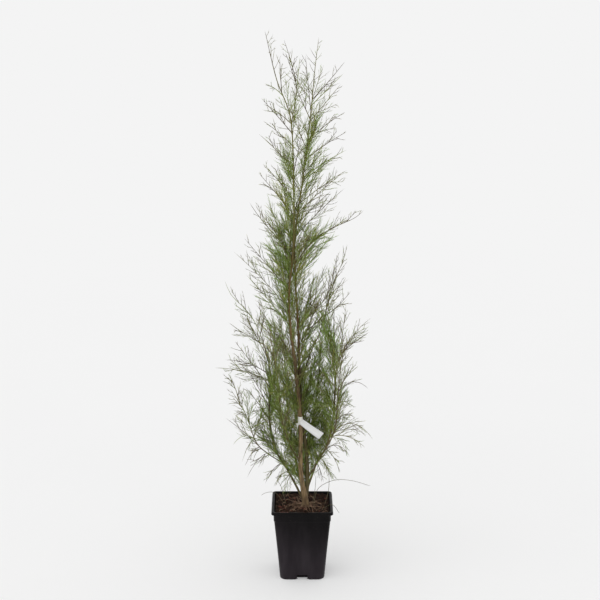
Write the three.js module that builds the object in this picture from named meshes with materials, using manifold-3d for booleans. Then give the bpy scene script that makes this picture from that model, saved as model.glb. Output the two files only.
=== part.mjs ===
// A young tamarisk in a square black nursery pot: a forked stem, leaning boughs and plumes of
// feathery twigs, as closed solids in millimetres. +Z is up, the front faces -Y, and the origin
// is the middle of the pot's flat underside.
import * as THREE from "three";
import { mergeVertices } from "three/addons/utils/BufferGeometryUtils.js";
import Module from "manifold-3d";

const wasm = await Module();
wasm.setup();

// Clearance between neighbouring solids, and the wider one that a twig keeps to other growth.
const GAP = 0.3;
const TWIG_GAP = 0.5;

// Pot: a two-litre square container with a turned-down rim over a collar that stands slightly proud.
const POT_HEIGHT = 160;
const POT_WALL = 1.6;
const POT_FLOOR = 2.5;
const RIM = { half: 65, depth: 6, corner: 8, flare: 1 };
const COLLAR = { half: 61, depth: 22, corner: 8, step: 1 };
const WALL_BASE = { half: 48, corner: 16 };
const BASE_ROUND = 2;
const CORNER_STEPS = 5;

// Foot of the pot: each side has a drain slot that opens into a shallow arch in the bottom edge.
const SLOT = { width: 22, height: 11, depth: 13 };
const ARCH = { width: 30, height: 4 };

// Soil: level with the stem's foot in the middle, falling away and uneven towards the walls.
const SOIL_TOP = 150;
const SOIL_PAD = 22;
const SOIL_EDGE_DROP = 4;
const SOIL_ROUGHNESS = 3;

// Root flare of the trunk: how much wider it is at the ground, how fast that fades, and its lobes.
const FLARE = { widen: 0.6, fade: 10, lobes: 5, lobeDepth: 0.25 };

// How far the crown reaches from the pot's axis to the left, to the right and in depth, by height.
const CROWN_REACH = [
  { height: 200, left: 95, right: 75, depth: 80 },
  { height: 300, left: 135, right: 140, depth: 120 },
  { height: 465, left: 178, right: 122, depth: 130 },
  { height: 570, left: 140, right: 143, depth: 125 },
  { height: 645, left: 150, right: 95, depth: 115 },
  { height: 740, left: 118, right: 92, depth: 100 },
  { height: 800, left: 108, right: 126, depth: 95 },
  { height: 920, left: 82, right: 90, depth: 80 },
  { height: 1060, left: 86, right: 86, depth: 70 },
  { height: 1161, left: 78, right: 60, depth: 50 },
];

// How steeply a shoot climbs for each millimetre it runs outwards, how much it arches over, and the
// furthest that it runs.
const SHOOT_HABIT = [
  { height: 200, climb: -0.8, arch: 0.42, longest: 80 },
  { height: 330, climb: -0.1, arch: 0.34, longest: 120 },
  { height: 400, climb: 0.45, arch: 0.2, longest: 140 },
  { height: 480, climb: 0.8, arch: 0.1, longest: 150 },
  { height: 700, climb: 1.0, arch: 0.02, longest: 130 },
  { height: 900, climb: 1.1, arch: -0.02, longest: 92 },
  { height: 1060, climb: 1.1, arch: -0.04, longest: 60 },
  { height: 1161, climb: 1.1, arch: -0.04, longest: 30 },
];
const CLIMB_SPREAD = 0.6;
const SHORTEST_RUN = 26;
const KNEE_SHARE = 0.45;
const REACH_AHEAD = 0.7;

// Shoots stand round a limb by the golden angle. Every SHOOTS_PER_MASS-th is a mass of its own.
const GOLDEN_ANGLE = THREE.MathUtils.degToRad(137.508);
const TURN_SPREAD = THREE.MathUtils.degToRad(24);
const SHOOTS_PER_MASS = 6;
const MASS_OFFSET = 3;
const SHOOT_STEPS = 12;

// Spine of a mass: its width and thickness at the foot and at the tip.
const SPINE = { width: [2.2, 0.9], thickness: [1.8, 0.8] };

// Twigs of a mass: their spacing along the shoot, their angle to it, how far they turn out of its
// plane, and their length as a share of the shoot's.
const TWIG = { spacing: 13, fewest: 6, most: 13, from: 0.06, to: 0.94, share: 0.34, least: 14 };
const TWIG_ANGLE = THREE.MathUtils.degToRad(38);
const TWIG_ROLL = THREE.MathUtils.degToRad(65);
const TWIG_FOOT = 3;
const TWIG_THICKNESS = 0.8;

// Each twig bears two tufts of fine branchlets, as teeth: below it and above it, by its share.
const TUFTS = [{ side: -1, place: 0.38, length: 0.36 }, { side: 1, place: 0.58, length: 0.32 }];
const TUFT_ANGLE = THREE.MathUtils.degToRad(27);
const TUFT_FOOT = 0.08;
const NOTCH = 0.5;
const LOWEST_TWIG = SOIL_TOP + 25;

// Flat drawing of a mass, before it is bent: only the order of its points matters there.
const FLAT = { rise: 30, foot: 10, reach: 40, tooth: 8 };

// Limbs run from their foot on a carrier to the very tip of their foliage. Each is wood up to the
// share woodEnd and a mass of foliage beyond it, and bears side masses from the share bare upwards.
const LIMBS = [
  {
    name: "trunk",
    path: [
      [6, -2, SOIL_TOP + GAP], [6, -2, 168], [-3, -5, 235], [-4, -6, 345], [-14, -5, 460],
      [-28, -5, 600], [-18, -4, 735], [-18, -2, 860], [-24, 0, 985], [-52, -4, 1065], [-75, -8, 1161],
    ],
    radii: [[0, 7.5], [0.03, 6.4], [0.06, 5], [0.2, 4.2], [0.45, 2.7], [0.7, 1.8], [1, 0.6]],
    woodEnd: 0.91, bare: 0.24, masses: 8, longest: 150, turn: 211, seed: 11,
    sides: 10, rings: 28, crowding: 1.4,
  },
  {
    name: "second_stem",
    from: "trunk", at: 0.012,
    path: [
      [11, 4, 205], [9, 6, 270], [-1, 7, 350], [-6, 7, 440], [-8, 6, 533], [-14, 5, 640], [-15, 5, 742],
      [1, 4, 861], [12, 3, 952], [19, 2, 1017], [26, 1, 1091], [33, 0, 1148],
    ],
    radii: [[0, 4.7], [0.2, 3.9], [0.45, 2.5], [0.7, 1.7], [1, 0.6]],
    woodEnd: 0.9, bare: 0.26, masses: 7, longest: 150, turn: 20, seed: 23, sides: 8, rings: 24,
  },
  {
    name: "bough_left_low",
    from: "trunk", at: 0.006,
    path: [
      [-29, 2, 228], [-57, 4, 278], [-70, 6, 346], [-69, 8, 459],
      [-101, 8, 561], [-148, 6, 617], [-162, 4, 650],
    ],
    radii: [[0, 2.9], [0.5, 2.1], [1, 0.7]],
    woodEnd: 0.66, bare: 0.2, masses: 2, longest: 115, turn: 60, seed: 31, sides: 7, rings: 16,
  },
  {
    name: "bough_left_outer",
    from: "bough_left_low", at: 0.19,
    path: [[-75, -8, 274], [-99, -16, 303], [-120, -22, 366], [-150, -26, 420], [-184, -28, 466]],
    radii: [[0, 1.9], [1, 0.7]],
    woodEnd: 0.5, bare: 0.15, masses: 2, longest: 90, turn: 190, seed: 43, sides: 6, rings: 10,
  },
  {
    name: "bough_right_low",
    from: "second_stem", at: 0.025,
    path: [
      [34, 1, 256], [50, -2, 282], [63, -5, 330], [69, -7, 397],
      [71, -7, 440], [86, -6, 500], [116, -5, 545], [145, -4, 572],
    ],
    radii: [[0, 2.7], [0.5, 2], [1, 0.7]],
    woodEnd: 0.62, bare: 0.2, masses: 2, longest: 110, turn: 325, seed: 53, sides: 7, rings: 16,
  },
  {
    name: "bough_right_upper",
    from: "second_stem", at: 0.26,
    path: [[18, 12, 492], [39, 16, 540], [66, 18, 640], [86, 18, 690], [94, 17, 726]],
    radii: [[0, 1.9], [1, 0.7]],
    woodEnd: 0.55, bare: 0.3, masses: 2, longest: 80, turn: 15, seed: 61, sides: 6, rings: 10,
  },
  {
    name: "bough_back_left",
    from: "trunk", at: 0.045,
    path: [[-14, 26, 245], [-30, 62, 320], [-36, 82, 420], [-44, 100, 510], [-56, 122, 585]],
    radii: [[0, 2.4], [1, 0.7]],
    woodEnd: 0.6, bare: 0.3, masses: 2, longest: 95, turn: 130, seed: 71, sides: 6, rings: 12,
  },
  {
    name: "bough_back_right",
    from: "second_stem", at: 0.1,
    path: [[22, 32, 330], [34, 62, 400], [42, 84, 490], [52, 104, 565], [60, 124, 630]],
    radii: [[0, 2.2], [1, 0.7]],
    woodEnd: 0.58, bare: 0.25, masses: 2, longest: 95, turn: 70, seed: 83, sides: 6, rings: 12,
  },
  {
    name: "bough_front_left",
    from: "trunk", at: 0.1,
    path: [[-26, -32, 300], [-42, -62, 365], [-50, -80, 450], [-60, -98, 530], [-74, -116, 590]],
    radii: [[0, 2.1], [1, 0.7]],
    woodEnd: 0.58, bare: 0.25, masses: 2, longest: 85, turn: 240, seed: 97, sides: 6, rings: 12,
  },
  {
    name: "bough_front_right",
    from: "second_stem", at: 0.05,
    path: [[44, -26, 280], [68, -48, 340], [74, -68, 420], [80, -88, 495], [92, -108, 560]],
    radii: [[0, 2.2], [1, 0.7]],
    woodEnd: 0.58, bare: 0.25, masses: 2, longest: 85, turn: 290, seed: 101, sides: 6, rings: 12,
  },
  {
    name: "bough_left_top",
    from: "trunk", at: 0.53,
    path: [[-45, -8, 733], [-74, -12, 768], [-93, -14, 793], [-108, -15, 816]],
    radii: [[0, 1.5], [1, 0.7]],
    woodEnd: 0.4, bare: 0.2, masses: 0, longest: 60, turn: 100, seed: 107, sides: 6, rings: 8,
  },
  {
    name: "bough_right_top",
    from: "second_stem", at: 0.53,
    path: [[27, 0, 738], [68, -4, 764], [106, -6, 782], [126, -6, 798]],
    radii: [[0, 1.6], [1, 0.7]],
    woodEnd: 0.4, bare: 0.2, masses: 0, longest: 60, turn: 200, seed: 113, sides: 6, rings: 8,
  },
  {
    name: "bough_top_middle",
    from: "trunk", at: 0.81,
    path: [[-14, 4, 1022], [-12, 6, 1052], [-22, 8, 1096], [-37, 8, 1143]],
    radii: [[0, 1.2], [1, 0.6]],
    woodEnd: 0.42, bare: 0.25, masses: 0, longest: 40, turn: 80, seed: 127, sides: 6, rings: 8,
  },
];

// Tie-on label: a plain strip looped round the trunk, with a wider end to its tail and the point of
// its other end sticking out behind the loop.
const LABEL = { height: 347, loopHeight: 17, thickness: 0.6, tailLength: 56, tailWidth: 13 };
const LABEL_END = { length: 6, width: 20 };
const LABEL_POINT = { out: 6.5, drop: 14 };
const LABEL_TILT = THREE.MathUtils.degToRad(-37);
const LABEL_CLEAR = 0.5;
const LABEL_SIDES = 20;

// Finishes
const plastic = new THREE.MeshStandardMaterial({ color: 0x2a282b, roughness: 0.55, metalness: 0 });
const peat = new THREE.MeshStandardMaterial({ color: 0x34251d, roughness: 0.95, metalness: 0 });
const bark = new THREE.MeshStandardMaterial({ color: 0x5c4a33, roughness: 0.85, metalness: 0 });
const foliage = new THREE.MeshStandardMaterial({ color: 0x5d6b3a, roughness: 0.75, metalness: 0 });
const paper = new THREE.MeshStandardMaterial({ color: 0xeeeeea, roughness: 0.5, metalness: 0 });

const UP = new THREE.Vector3(0, 0, 1);
const tamarisk = new THREE.Group();

function addNode(name, geometry, material) {
  const mesh = new THREE.Mesh(geometry, material);
  mesh.name = name;
  tamarisk.add(mesh);
}

// A repeatable stream of numbers from 0 to 1.
function seeded(seed) {
  let state = seed >>> 0;
  return () => {
    state = (state + 0x6d2b79f5) >>> 0;
    let mixed = Math.imul(state ^ (state >>> 15), state | 1);
    mixed ^= mixed + Math.imul(mixed ^ (mixed >>> 7), mixed | 61);
    return ((mixed ^ (mixed >>> 14)) >>> 0) / 4294967296;
  };
}

// The straight-line value of a table at a place. Rows are [place, value] and rise by place.
function lookUp(rows, place) {
  const next = rows.findIndex((row) => row[0] > place);
  if (next === 0) return rows[0][1];
  if (next < 0) return rows[rows.length - 1][1];
  const [low, high] = [rows[next - 1], rows[next]];
  return THREE.MathUtils.mapLinear(place, low[0], high[0], low[1], high[1]);
}

function byHeight(rows, key, height) {
  return lookUp(rows.map((row) => [row.height, row[key]]), height);
}

// Closed geometry to a solid that can be joined and cut, and back.
function toSolid(geometry) {
  const bare = geometry.clone();
  bare.deleteAttribute("normal");
  bare.deleteAttribute("uv");
  const merged = mergeVertices(bare, 1e-4);
  return new wasm.Manifold(
    new wasm.Mesh({
      numProp: 3,
      vertProperties: merged.attributes.position.array,
      triVerts: new Uint32Array(merged.index.array),
    }),
  );
}

function toGeometry(solid) {
  const mesh = solid.getMesh();
  const geometry = new THREE.BufferGeometry();
  geometry.setAttribute("position", new THREE.BufferAttribute(mesh.vertProperties, 3));
  geometry.setIndex(new THREE.BufferAttribute(mesh.triVerts, 1));
  geometry.computeVertexNormals();
  return geometry;
}

// A cylinder whose vertices are moved to place(ring, turn, spoke): ring and turn from 0 to 1, and
// spoke 0 at the middle of an end or 1 on the skin.
function shapedCylinder(sides, rings, place) {
  const geometry = new THREE.CylinderGeometry(1, 1, 1, sides, rings);
  const position = geometry.attributes.position;
  const at = new THREE.Vector3();
  for (let i = 0; i < position.count; i++) {
    at.fromBufferAttribute(position, i);
    const ring = Math.round((at.y + 0.5) * rings) / rings;
    const spoke = Math.hypot(at.x, at.z) > 0.5 ? 1 : 0;
    const turn = (Math.atan2(at.x, at.z) / (2 * Math.PI) + 1) % 1;
    const moved = place(ring, turn, spoke);
    position.setXYZ(i, moved.x, moved.y, moved.z);
  }
  return geometry;
}

// Pot and soil: stacks of squares with rounded corners, each level { z, half, corner }.
function roundedSquare(turn, half, corner) {
  const perCorner = CORNER_STEPS + 1;
  const step = Math.round(turn * 4 * perCorner) % (4 * perCorner);
  const quarter = Math.floor(step / perCorner);
  const angle = ((quarter + (step % perCorner) / CORNER_STEPS) * Math.PI) / 2;
  const middle = ((quarter + 0.5) * Math.PI) / 2;
  const arm = (half - corner) * Math.SQRT2;
  return new THREE.Vector2(
    arm * Math.cos(middle) + corner * Math.cos(angle),
    arm * Math.sin(middle) + corner * Math.sin(angle),
  );
}

function squareStack(levels, rough = () => 0) {
  const rings = levels.length - 1;
  return shapedCylinder(4 * (CORNER_STEPS + 1), rings, (ring, turn, spoke) => {
    const level = levels[Math.round(ring * rings)];
    const edge = roundedSquare(turn, level.half, level.corner).multiplyScalar(spoke);
    return new THREE.Vector3(edge.x, edge.y, level.z + rough(level, edge));
  });
}

function wallHalfAt(z) {
  const top = POT_HEIGHT - COLLAR.depth;
  return THREE.MathUtils.mapLinear(z, 0, top, WALL_BASE.half, COLLAR.half - COLLAR.step);
}

function potGeometry() {
  const collarFoot = POT_HEIGHT - COLLAR.depth;
  const outer = toSolid(squareStack([
    { z: 0, half: WALL_BASE.half - BASE_ROUND, corner: WALL_BASE.corner - BASE_ROUND },
    { z: BASE_ROUND, half: wallHalfAt(BASE_ROUND), corner: WALL_BASE.corner },
    { z: collarFoot, half: wallHalfAt(collarFoot), corner: COLLAR.corner },
    { z: collarFoot + COLLAR.step, half: COLLAR.half, corner: COLLAR.corner },
    { z: POT_HEIGHT, half: COLLAR.half, corner: COLLAR.corner },
  ]));
  const rim = toSolid(squareStack([
    { z: POT_HEIGHT - RIM.depth, half: RIM.half + RIM.flare, corner: RIM.corner },
    { z: POT_HEIGHT, half: RIM.half, corner: RIM.corner },
  ]));
  const inside = toSolid(squareStack(potInside(0, POT_HEIGHT + 1)));
  return toGeometry(cutDrains(outer.add(rim).subtract(inside), 0));
}

// The space inside the pot's walls from its floor to a height, drawn in by a clearance.
function potInside(clear, top) {
  const half = (z) => Math.min(wallHalfAt(z), COLLAR.half - COLLAR.step) - POT_WALL - clear;
  const collarFoot = POT_HEIGHT - COLLAR.depth;
  return [
    { z: POT_FLOOR + clear, half: half(POT_FLOOR), corner: WALL_BASE.corner - POT_WALL },
    { z: collarFoot, half: half(collarFoot), corner: COLLAR.corner - POT_WALL },
    { z: top, half: half(top), corner: COLLAR.corner - POT_WALL },
  ];
}

// Cuts the slots and arches out of the four sides, larger all round by a clearance.
function cutDrains(solid, clear) {
  const cutter = (width, height) =>
    toSolid(new THREE.BoxGeometry(width + 2 * clear, 2 * (SLOT.depth + clear), 2 * (height + clear)));
  const drain = cutter(SLOT.width, SLOT.height)
    .add(cutter(ARCH.width, ARCH.height))
    .translate([0, -WALL_BASE.half, 0]);
  let cut = solid;
  for (let side = 0; side < 4; side++) cut = cut.subtract(drain.rotate([0, 0, 90 * side]));
  return cut;
}

function soilGeometry() {
  const chance = seeded(7);
  const [foot, collarFoot, edge] = potInside(GAP, SOIL_TOP - SOIL_EDGE_DROP);
  const blend = (share) => ({
    z: edge.z + SOIL_EDGE_DROP * share,
    half: THREE.MathUtils.lerp(edge.half, SOIL_PAD, share),
    corner: THREE.MathUtils.lerp(edge.corner, SOIL_PAD, share),
    rough: share < 1 ? SOIL_ROUGHNESS : 0,
  });
  const levels = [foot, collarFoot, edge, blend(0.35), blend(0.7), blend(1)];
  // Both copies of a seam's vertex get the same height, because it is kept by place.
  const heights = new Map();
  const rough = (level, at) => {
    const key = level.z.toFixed(2) + " " + at.x.toFixed(2) + " " + at.y.toFixed(2);
    if (!heights.has(key)) heights.set(key, (chance() - 0.5) * (level.rough ?? 0));
    return heights.get(key);
  };
  return toGeometry(cutDrains(toSolid(squareStack(levels, rough)), 1));
}

// A tapering limb along pointAt(share), with its radius from radiusAt(share, turn).
function limbGeometry(pointAt, radiusAt, sides, rings) {
  const frames = framesAlong(pointAt, rings);
  return shapedCylinder(sides, rings, (ring, turn, spoke) => {
    const frame = frames[Math.round(ring * rings)];
    const radius = spoke * radiusAt(ring, turn);
    return acrossFrame(frame, radius, 2 * Math.PI * turn);
  });
}

function acrossFrame(frame, radius, angle) {
  return frame.centre
    .clone()
    .addScaledVector(frame.side, radius * Math.cos(angle))
    .addScaledVector(frame.top, radius * Math.sin(angle));
}

function directionAt(pointAt, share) {
  const before = pointAt(Math.max(share - 0.002, 0));
  return pointAt(Math.min(share + 0.002, 1)).sub(before).normalize();
}

// Directions across a curved line, carried along it without twist.
function framesAlong(pointAt, rings) {
  let side = new THREE.Vector3(1, 0, 0);
  return Array.from({ length: rings + 1 }, (_, i) => {
    const along = directionAt(pointAt, i / rings);
    if (i === 0 && Math.abs(along.x) > 0.9) side = UP;
    side = side.clone().addScaledVector(along, -side.dot(along)).normalize();
    return { centre: pointAt(i / rings), along, side, top: along.clone().cross(side) };
  });
}

// Space that is taken: straight stretches with a radius at each end and the node they belong to.
const taken = [];

function take(owner, pointAt, radiusAt, steps) {
  for (let i = 0; i < steps; i++) {
    const [a, b] = [i / steps, (i + 1) / steps];
    taken.push({ owner, a: pointAt(a), b: pointAt(b), radiusA: radiusAt(a), radiusB: radiusAt(b) });
  }
}

// Shares along two straight stretches where they come closest.
function closestShares(a, b) {
  const alongA = a.b.clone().sub(a.a);
  const alongB = b.b.clone().sub(b.a);
  const between = a.a.clone().sub(b.a);
  const [aa, bb, ab] = [alongA.lengthSq(), alongB.lengthSq(), alongA.dot(alongB)];
  const [da, db] = [alongA.dot(between), alongB.dot(between)];
  const spread = aa * bb - ab * ab;
  const clamp = THREE.MathUtils.clamp;
  let shareA = spread > 1e-9 ? clamp((ab * db - da * bb) / spread, 0, 1) : 0;
  const shareB = clamp((ab * shareA + db) / Math.max(bb, 1e-9), 0, 1);
  shareA = clamp((ab * shareB - da) / Math.max(aa, 1e-9), 0, 1);
  return [shareA, shareB];
}

// How far a stretch is clear of what other nodes have taken.
function clearance(stretch, owner) {
  let least = Infinity;
  for (const other of taken) {
    if (other.owner === owner) continue;
    const [shareA, shareB] = closestShares(stretch, other);
    const pointA = stretch.a.clone().lerp(stretch.b, shareA);
    const pointB = other.a.clone().lerp(other.b, shareB);
    const radiusA = THREE.MathUtils.lerp(stretch.radiusA, stretch.radiusB, shareA);
    const radiusB = THREE.MathUtils.lerp(other.radiusA, other.radiusB, shareB);
    least = Math.min(least, pointA.distanceTo(pointB) - radiusA - radiusB);
  }
  return least;
}

// The share of a limb from which it stands clear of its carrier by GAP. It leaves that in its first
// half.
function clearStart(pointAt, radiusAt) {
  const steps = 500;
  const corners = 8;
  for (let i = steps / 2; i > 0; i--) {
    const share = i / steps;
    const frame = framesAlong((s) => pointAt(share + s / steps), 1)[0];
    const edges = Array.from({ length: corners }, (_, k) => {
      const at = acrossFrame(frame, radiusAt(share), (2 * Math.PI * k) / corners);
      return clearance({ a: at, b: at, radiusA: 0, radiusB: 0 }, null);
    });
    if (Math.min(...edges) < GAP) return share + 1 / steps;
  }
  return 0;
}

// Limbs
const grown = new Map();

function growLimb(limb) {
  const carrier = grown.get(limb.from);
  const points = limb.path.map((at) => new THREE.Vector3(...at));
  if (carrier) points.unshift(carrier.curve.getPointAt(limb.at));
  const curve = new THREE.CatmullRomCurve3(points, false, "catmullrom", 0.5);
  const radiusAt = (share) => lookUp(limb.radii, share);
  const start = carrier ? clearStart((s) => curve.getPointAt(s), radiusAt) : 0;
  const onWood = (share) => THREE.MathUtils.lerp(start, limb.woodEnd, share ** (limb.crowding ?? 1));
  const pointAt = (share) => curve.getPointAt(onWood(share));
  const skinAt = (share, turn) => radiusAt(onWood(share)) * (carrier ? 1 : flareAt(pointAt(share).z, turn));
  const geometry = limbGeometry(pointAt, skinAt, limb.sides, limb.rings);
  if (!carrier) flattenFoot(geometry);
  addNode(limb.name, geometry, bark);
  take(limb.name, pointAt, (share) => radiusAt(onWood(share)), limb.rings);
  grown.set(limb.name, { ...limb, curve, radiusAt });
}

function flareAt(height, turn) {
  const lobe = 1 + FLARE.lobeDepth * Math.cos(2 * Math.PI * FLARE.lobes * turn);
  return 1 + FLARE.widen * lobe * Math.exp((SOIL_TOP - height) / FLARE.fade);
}

// Brings the lowest ring of the trunk, and the middle of its cut, level with the soil.
function flattenFoot(geometry) {
  const position = geometry.attributes.position;
  for (let i = 0; i < position.count; i++) {
    if (position.getZ(i) < SOIL_TOP + 2) position.setZ(i, SOIL_TOP + GAP);
  }
}

// Side shoots: from the limb's middle line out to the crown's edge, by the rule of its place.
function crownReach(height, out) {
  const side = byHeight(CROWN_REACH, out.x < 0 ? "left" : "right", height);
  const depth = byHeight(CROWN_REACH, "depth", height);
  return THREE.MathUtils.lerp(depth, side, Math.abs(out.x));
}

function shootCurve(limb, index) {
  const chance = seeded(1000 * limb.seed + index);
  const share = THREE.MathUtils.lerp(limb.bare, limb.woodEnd, (index + 0.5) / shootCount(limb));
  const foot = limb.curve.getPointAt(share);
  const turn = THREE.MathUtils.degToRad(limb.turn) + index * GOLDEN_ANGLE + (chance() - 0.5) * TURN_SPREAD;
  const out = new THREE.Vector3(Math.cos(turn), Math.sin(turn), 0);
  const climb = byHeight(SHOOT_HABIT, "climb", foot.z) + (chance() - 0.5) * CLIMB_SPREAD;
  const arch = byHeight(SHOOT_HABIT, "arch", foot.z);
  const offset = foot.x * out.x + foot.y * out.y;
  const level = crownReach(foot.z, out) - offset;
  const wanted = crownReach(foot.z + REACH_AHEAD * climb * level, out) - offset;
  const longest = Math.min(limb.longest, byHeight(SHOOT_HABIT, "longest", foot.z));
  const run = THREE.MathUtils.clamp(wanted, SHORTEST_RUN, longest);
  const knee = foot.clone().addScaledVector(out, KNEE_SHARE * run);
  knee.z += (0.5 * climb + arch) * run;
  const tip = foot.clone().addScaledVector(out, run);
  tip.z += climb * run;
  return new THREE.QuadraticBezierCurve3(foot, knee, tip);
}

function shootCount(limb) {
  return limb.masses * SHOOTS_PER_MASS;
}

// Masses of foliage: a shoot with twigs that branch off it, in one solid.
function planMass(name, pointOn, start, end) {
  const pointAt = (share) => pointOn(THREE.MathUtils.lerp(start, end, share));
  const radiusAt = (share) => THREE.MathUtils.lerp(...SPINE.width, share) / 2;
  take(name, pointAt, radiusAt, SHOOT_STEPS);
  return { name, pointAt };
}

function planTipMass(limb) {
  const clear = GAP / limb.curve.getLength();
  return planMass("foliage_" + limb.name + "_tip", (s) => limb.curve.getPointAt(s), limb.woodEnd + clear, 1);
}

function planSideMass(limb, number) {
  const curve = shootCurve(limb, number * SHOOTS_PER_MASS + MASS_OFFSET);
  const pointOn = (share) => curve.getPoint(share);
  const start = clearStart(pointOn, () => Math.hypot(SPINE.width[0], SPINE.thickness[0]) / 2);
  return planMass("foliage_" + limb.name + "_" + (number + 1), pointOn, start, 1);
}

// The spine's middle, direction, side and top at a share of the shoot, with its half sizes there.
function spineFrame(mass, share) {
  const chord = mass.pointAt(1).sub(mass.pointAt(0)).normalize();
  const level = Math.abs(chord.z) < 0.97 ? chord.clone().cross(UP) : new THREE.Vector3(0, -1, 0);
  const along = directionAt(mass.pointAt, share);
  const side = level.addScaledVector(along, -level.dot(along)).normalize();
  return {
    centre: mass.pointAt(share),
    along,
    side,
    top: side.clone().cross(along),
    width: THREE.MathUtils.lerp(...SPINE.width, share) / 2,
    thickness: THREE.MathUtils.lerp(...SPINE.thickness, share) / 2,
  };
}

// A point of a mass's outline: its place in a flat drawing of the mass, its real place, and the half
// thickness there as a vector.
function outlinePoint(x, y, at, half) {
  return { flat: new THREE.Vector2(x, y), at, half };
}

function spinePoint(mass, share, hand, x, y) {
  const frame = spineFrame(mass, share);
  const at = frame.centre.clone().addScaledVector(frame.side, hand * frame.width);
  return outlinePoint(x, y, at, frame.top.clone().multiplyScalar(frame.thickness));
}

// The outline of one twig, from its foot round its tip, on the hand 1 or -1 of the spine. It is empty
// where the twig would touch other growth or the soil, and leaves out a tuft that would.
function twigOutline(mass, index, count) {
  const hand = index % 2 ? -1 : 1;
  const share = THREE.MathUtils.lerp(TWIG.from, TWIG.to, (index + 0.5) / count);
  const frame = spineFrame(mass, share);
  const roll = TWIG_ROLL * Math.sin(index * GOLDEN_ANGLE + mass.phase);
  const away = frame.side.clone().multiplyScalar(hand * Math.cos(roll));
  away.addScaledVector(frame.top, Math.sin(roll));
  const along = frame.along.clone().multiplyScalar(Math.cos(TWIG_ANGLE));
  along.addScaledVector(away, Math.sin(TWIG_ANGLE));
  const forward = frame.along.clone().addScaledVector(along, -frame.along.dot(along)).normalize();
  const normal = frame.top.clone().multiplyScalar(Math.cos(roll));
  normal.addScaledVector(frame.side, -hand * Math.sin(roll));
  const half = normal.multiplyScalar(TWIG_THICKNESS / 2);
  const length = TWIG.share * mass.length * (1 - share) ** 0.7 + TWIG.least;

  const base = FLAT.rise * (index + 1);
  const placed = (place, beside) =>
    frame.centre.clone().addScaledVector(along, place * length).addScaledVector(forward, beside);
  const flat = (place, beside, at) =>
    outlinePoint(hand * (FLAT.foot + FLAT.reach * place), base + FLAT.reach * place + beside, at, half);
  const tip = placed(1, 0);
  if (!claim(mass, [[frame.centre, tip]])) return [];

  const outline = [spinePoint(mass, share, hand, hand * FLAT.foot, base)];
  const end = spinePoint(mass, share + TWIG_FOOT / mass.length, hand, hand * FLAT.foot, base + FLAT.tooth);
  const tuftPoints = TUFTS.map((tuft) => {
    const far = tuft.place + tuft.length * Math.cos(TUFT_ANGLE);
    const out = tuft.side * tuft.length * length * Math.sin(TUFT_ANGLE);
    const notchPlace = tuft.place + TUFT_FOOT;
    const [tuftTip, notch] = [placed(far, out), placed(notchPlace, tuft.side * NOTCH)];
    const foot = tuft.side < 0 ? outline[0].at : end.at;
    if (!claim(mass, [[foot, tuftTip], [notch, tuftTip]])) return [];
    const beside = tuft.side < 0 ? [-FLAT.tooth, 0] : [2 * FLAT.tooth, FLAT.tooth / 2];
    return [flat(far, beside[0], tuftTip), flat(notchPlace, beside[1], notch)];
  });
  outline.push(...tuftPoints[0], flat(1, FLAT.tooth / 4, tip), ...tuftPoints[1].reverse(), end);
  return outline;
}

// Takes the space of some straight stretches for a mass, if all of it is free.
function claim(mass, lines) {
  const radius = TWIG_THICKNESS / 2;
  const stretches = lines.map(([a, b]) => ({ owner: mass.name, a, b, radiusA: radius, radiusB: radius }));
  const isFree = (stretch) => stretch.b.z > LOWEST_TWIG && clearance(stretch, mass.name) > TWIG_GAP;
  if (!stretches.every(isFree)) return false;
  taken.push(...stretches);
  return true;
}

// The flat drawing of the spine and its twigs is extruded, then each of its points is moved to its
// real place.
function growMass(mass, number) {
  mass.phase = number;
  mass.length = mass.pointAt(0).distanceTo(mass.pointAt(1));
  const count = THREE.MathUtils.clamp(Math.round(mass.length / TWIG.spacing), TWIG.fewest, TWIG.most);
  const hands = [[], []];
  for (let i = 0; i < count; i++) hands[i % 2].push(twigOutline(mass, i, count));
  const outline = [
    spinePoint(mass, 0, 1, FLAT.foot, 0),
    ...hands[0].flat(),
    spinePoint(mass, 1, 0, 0, FLAT.rise * (count + 3)),
    ...hands[1].reverse().flatMap((twig) => twig.reverse()),
    spinePoint(mass, 0, -1, -FLAT.foot, 0),
  ];
  const keyOf = (x, y) => x.toFixed(2) + " " + y.toFixed(2);
  const places = new Map(outline.map((point) => [keyOf(point.flat.x, point.flat.y), point]));
  const drawing = new THREE.Shape(outline.map((point) => point.flat));
  const geometry = new THREE.ExtrudeGeometry(drawing, { depth: 1, bevelEnabled: false });
  const position = geometry.attributes.position;
  for (let i = 0; i < position.count; i++) {
    const point = places.get(keyOf(position.getX(i), position.getY(i)));
    const at = point.at.clone().addScaledVector(point.half, position.getZ(i) > 0.5 ? 1 : -1);
    position.setXYZ(i, at.x, at.y, at.z);
  }
  geometry.computeVertexNormals();
  addNode(mass.name, geometry, foliage);
}

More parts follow.
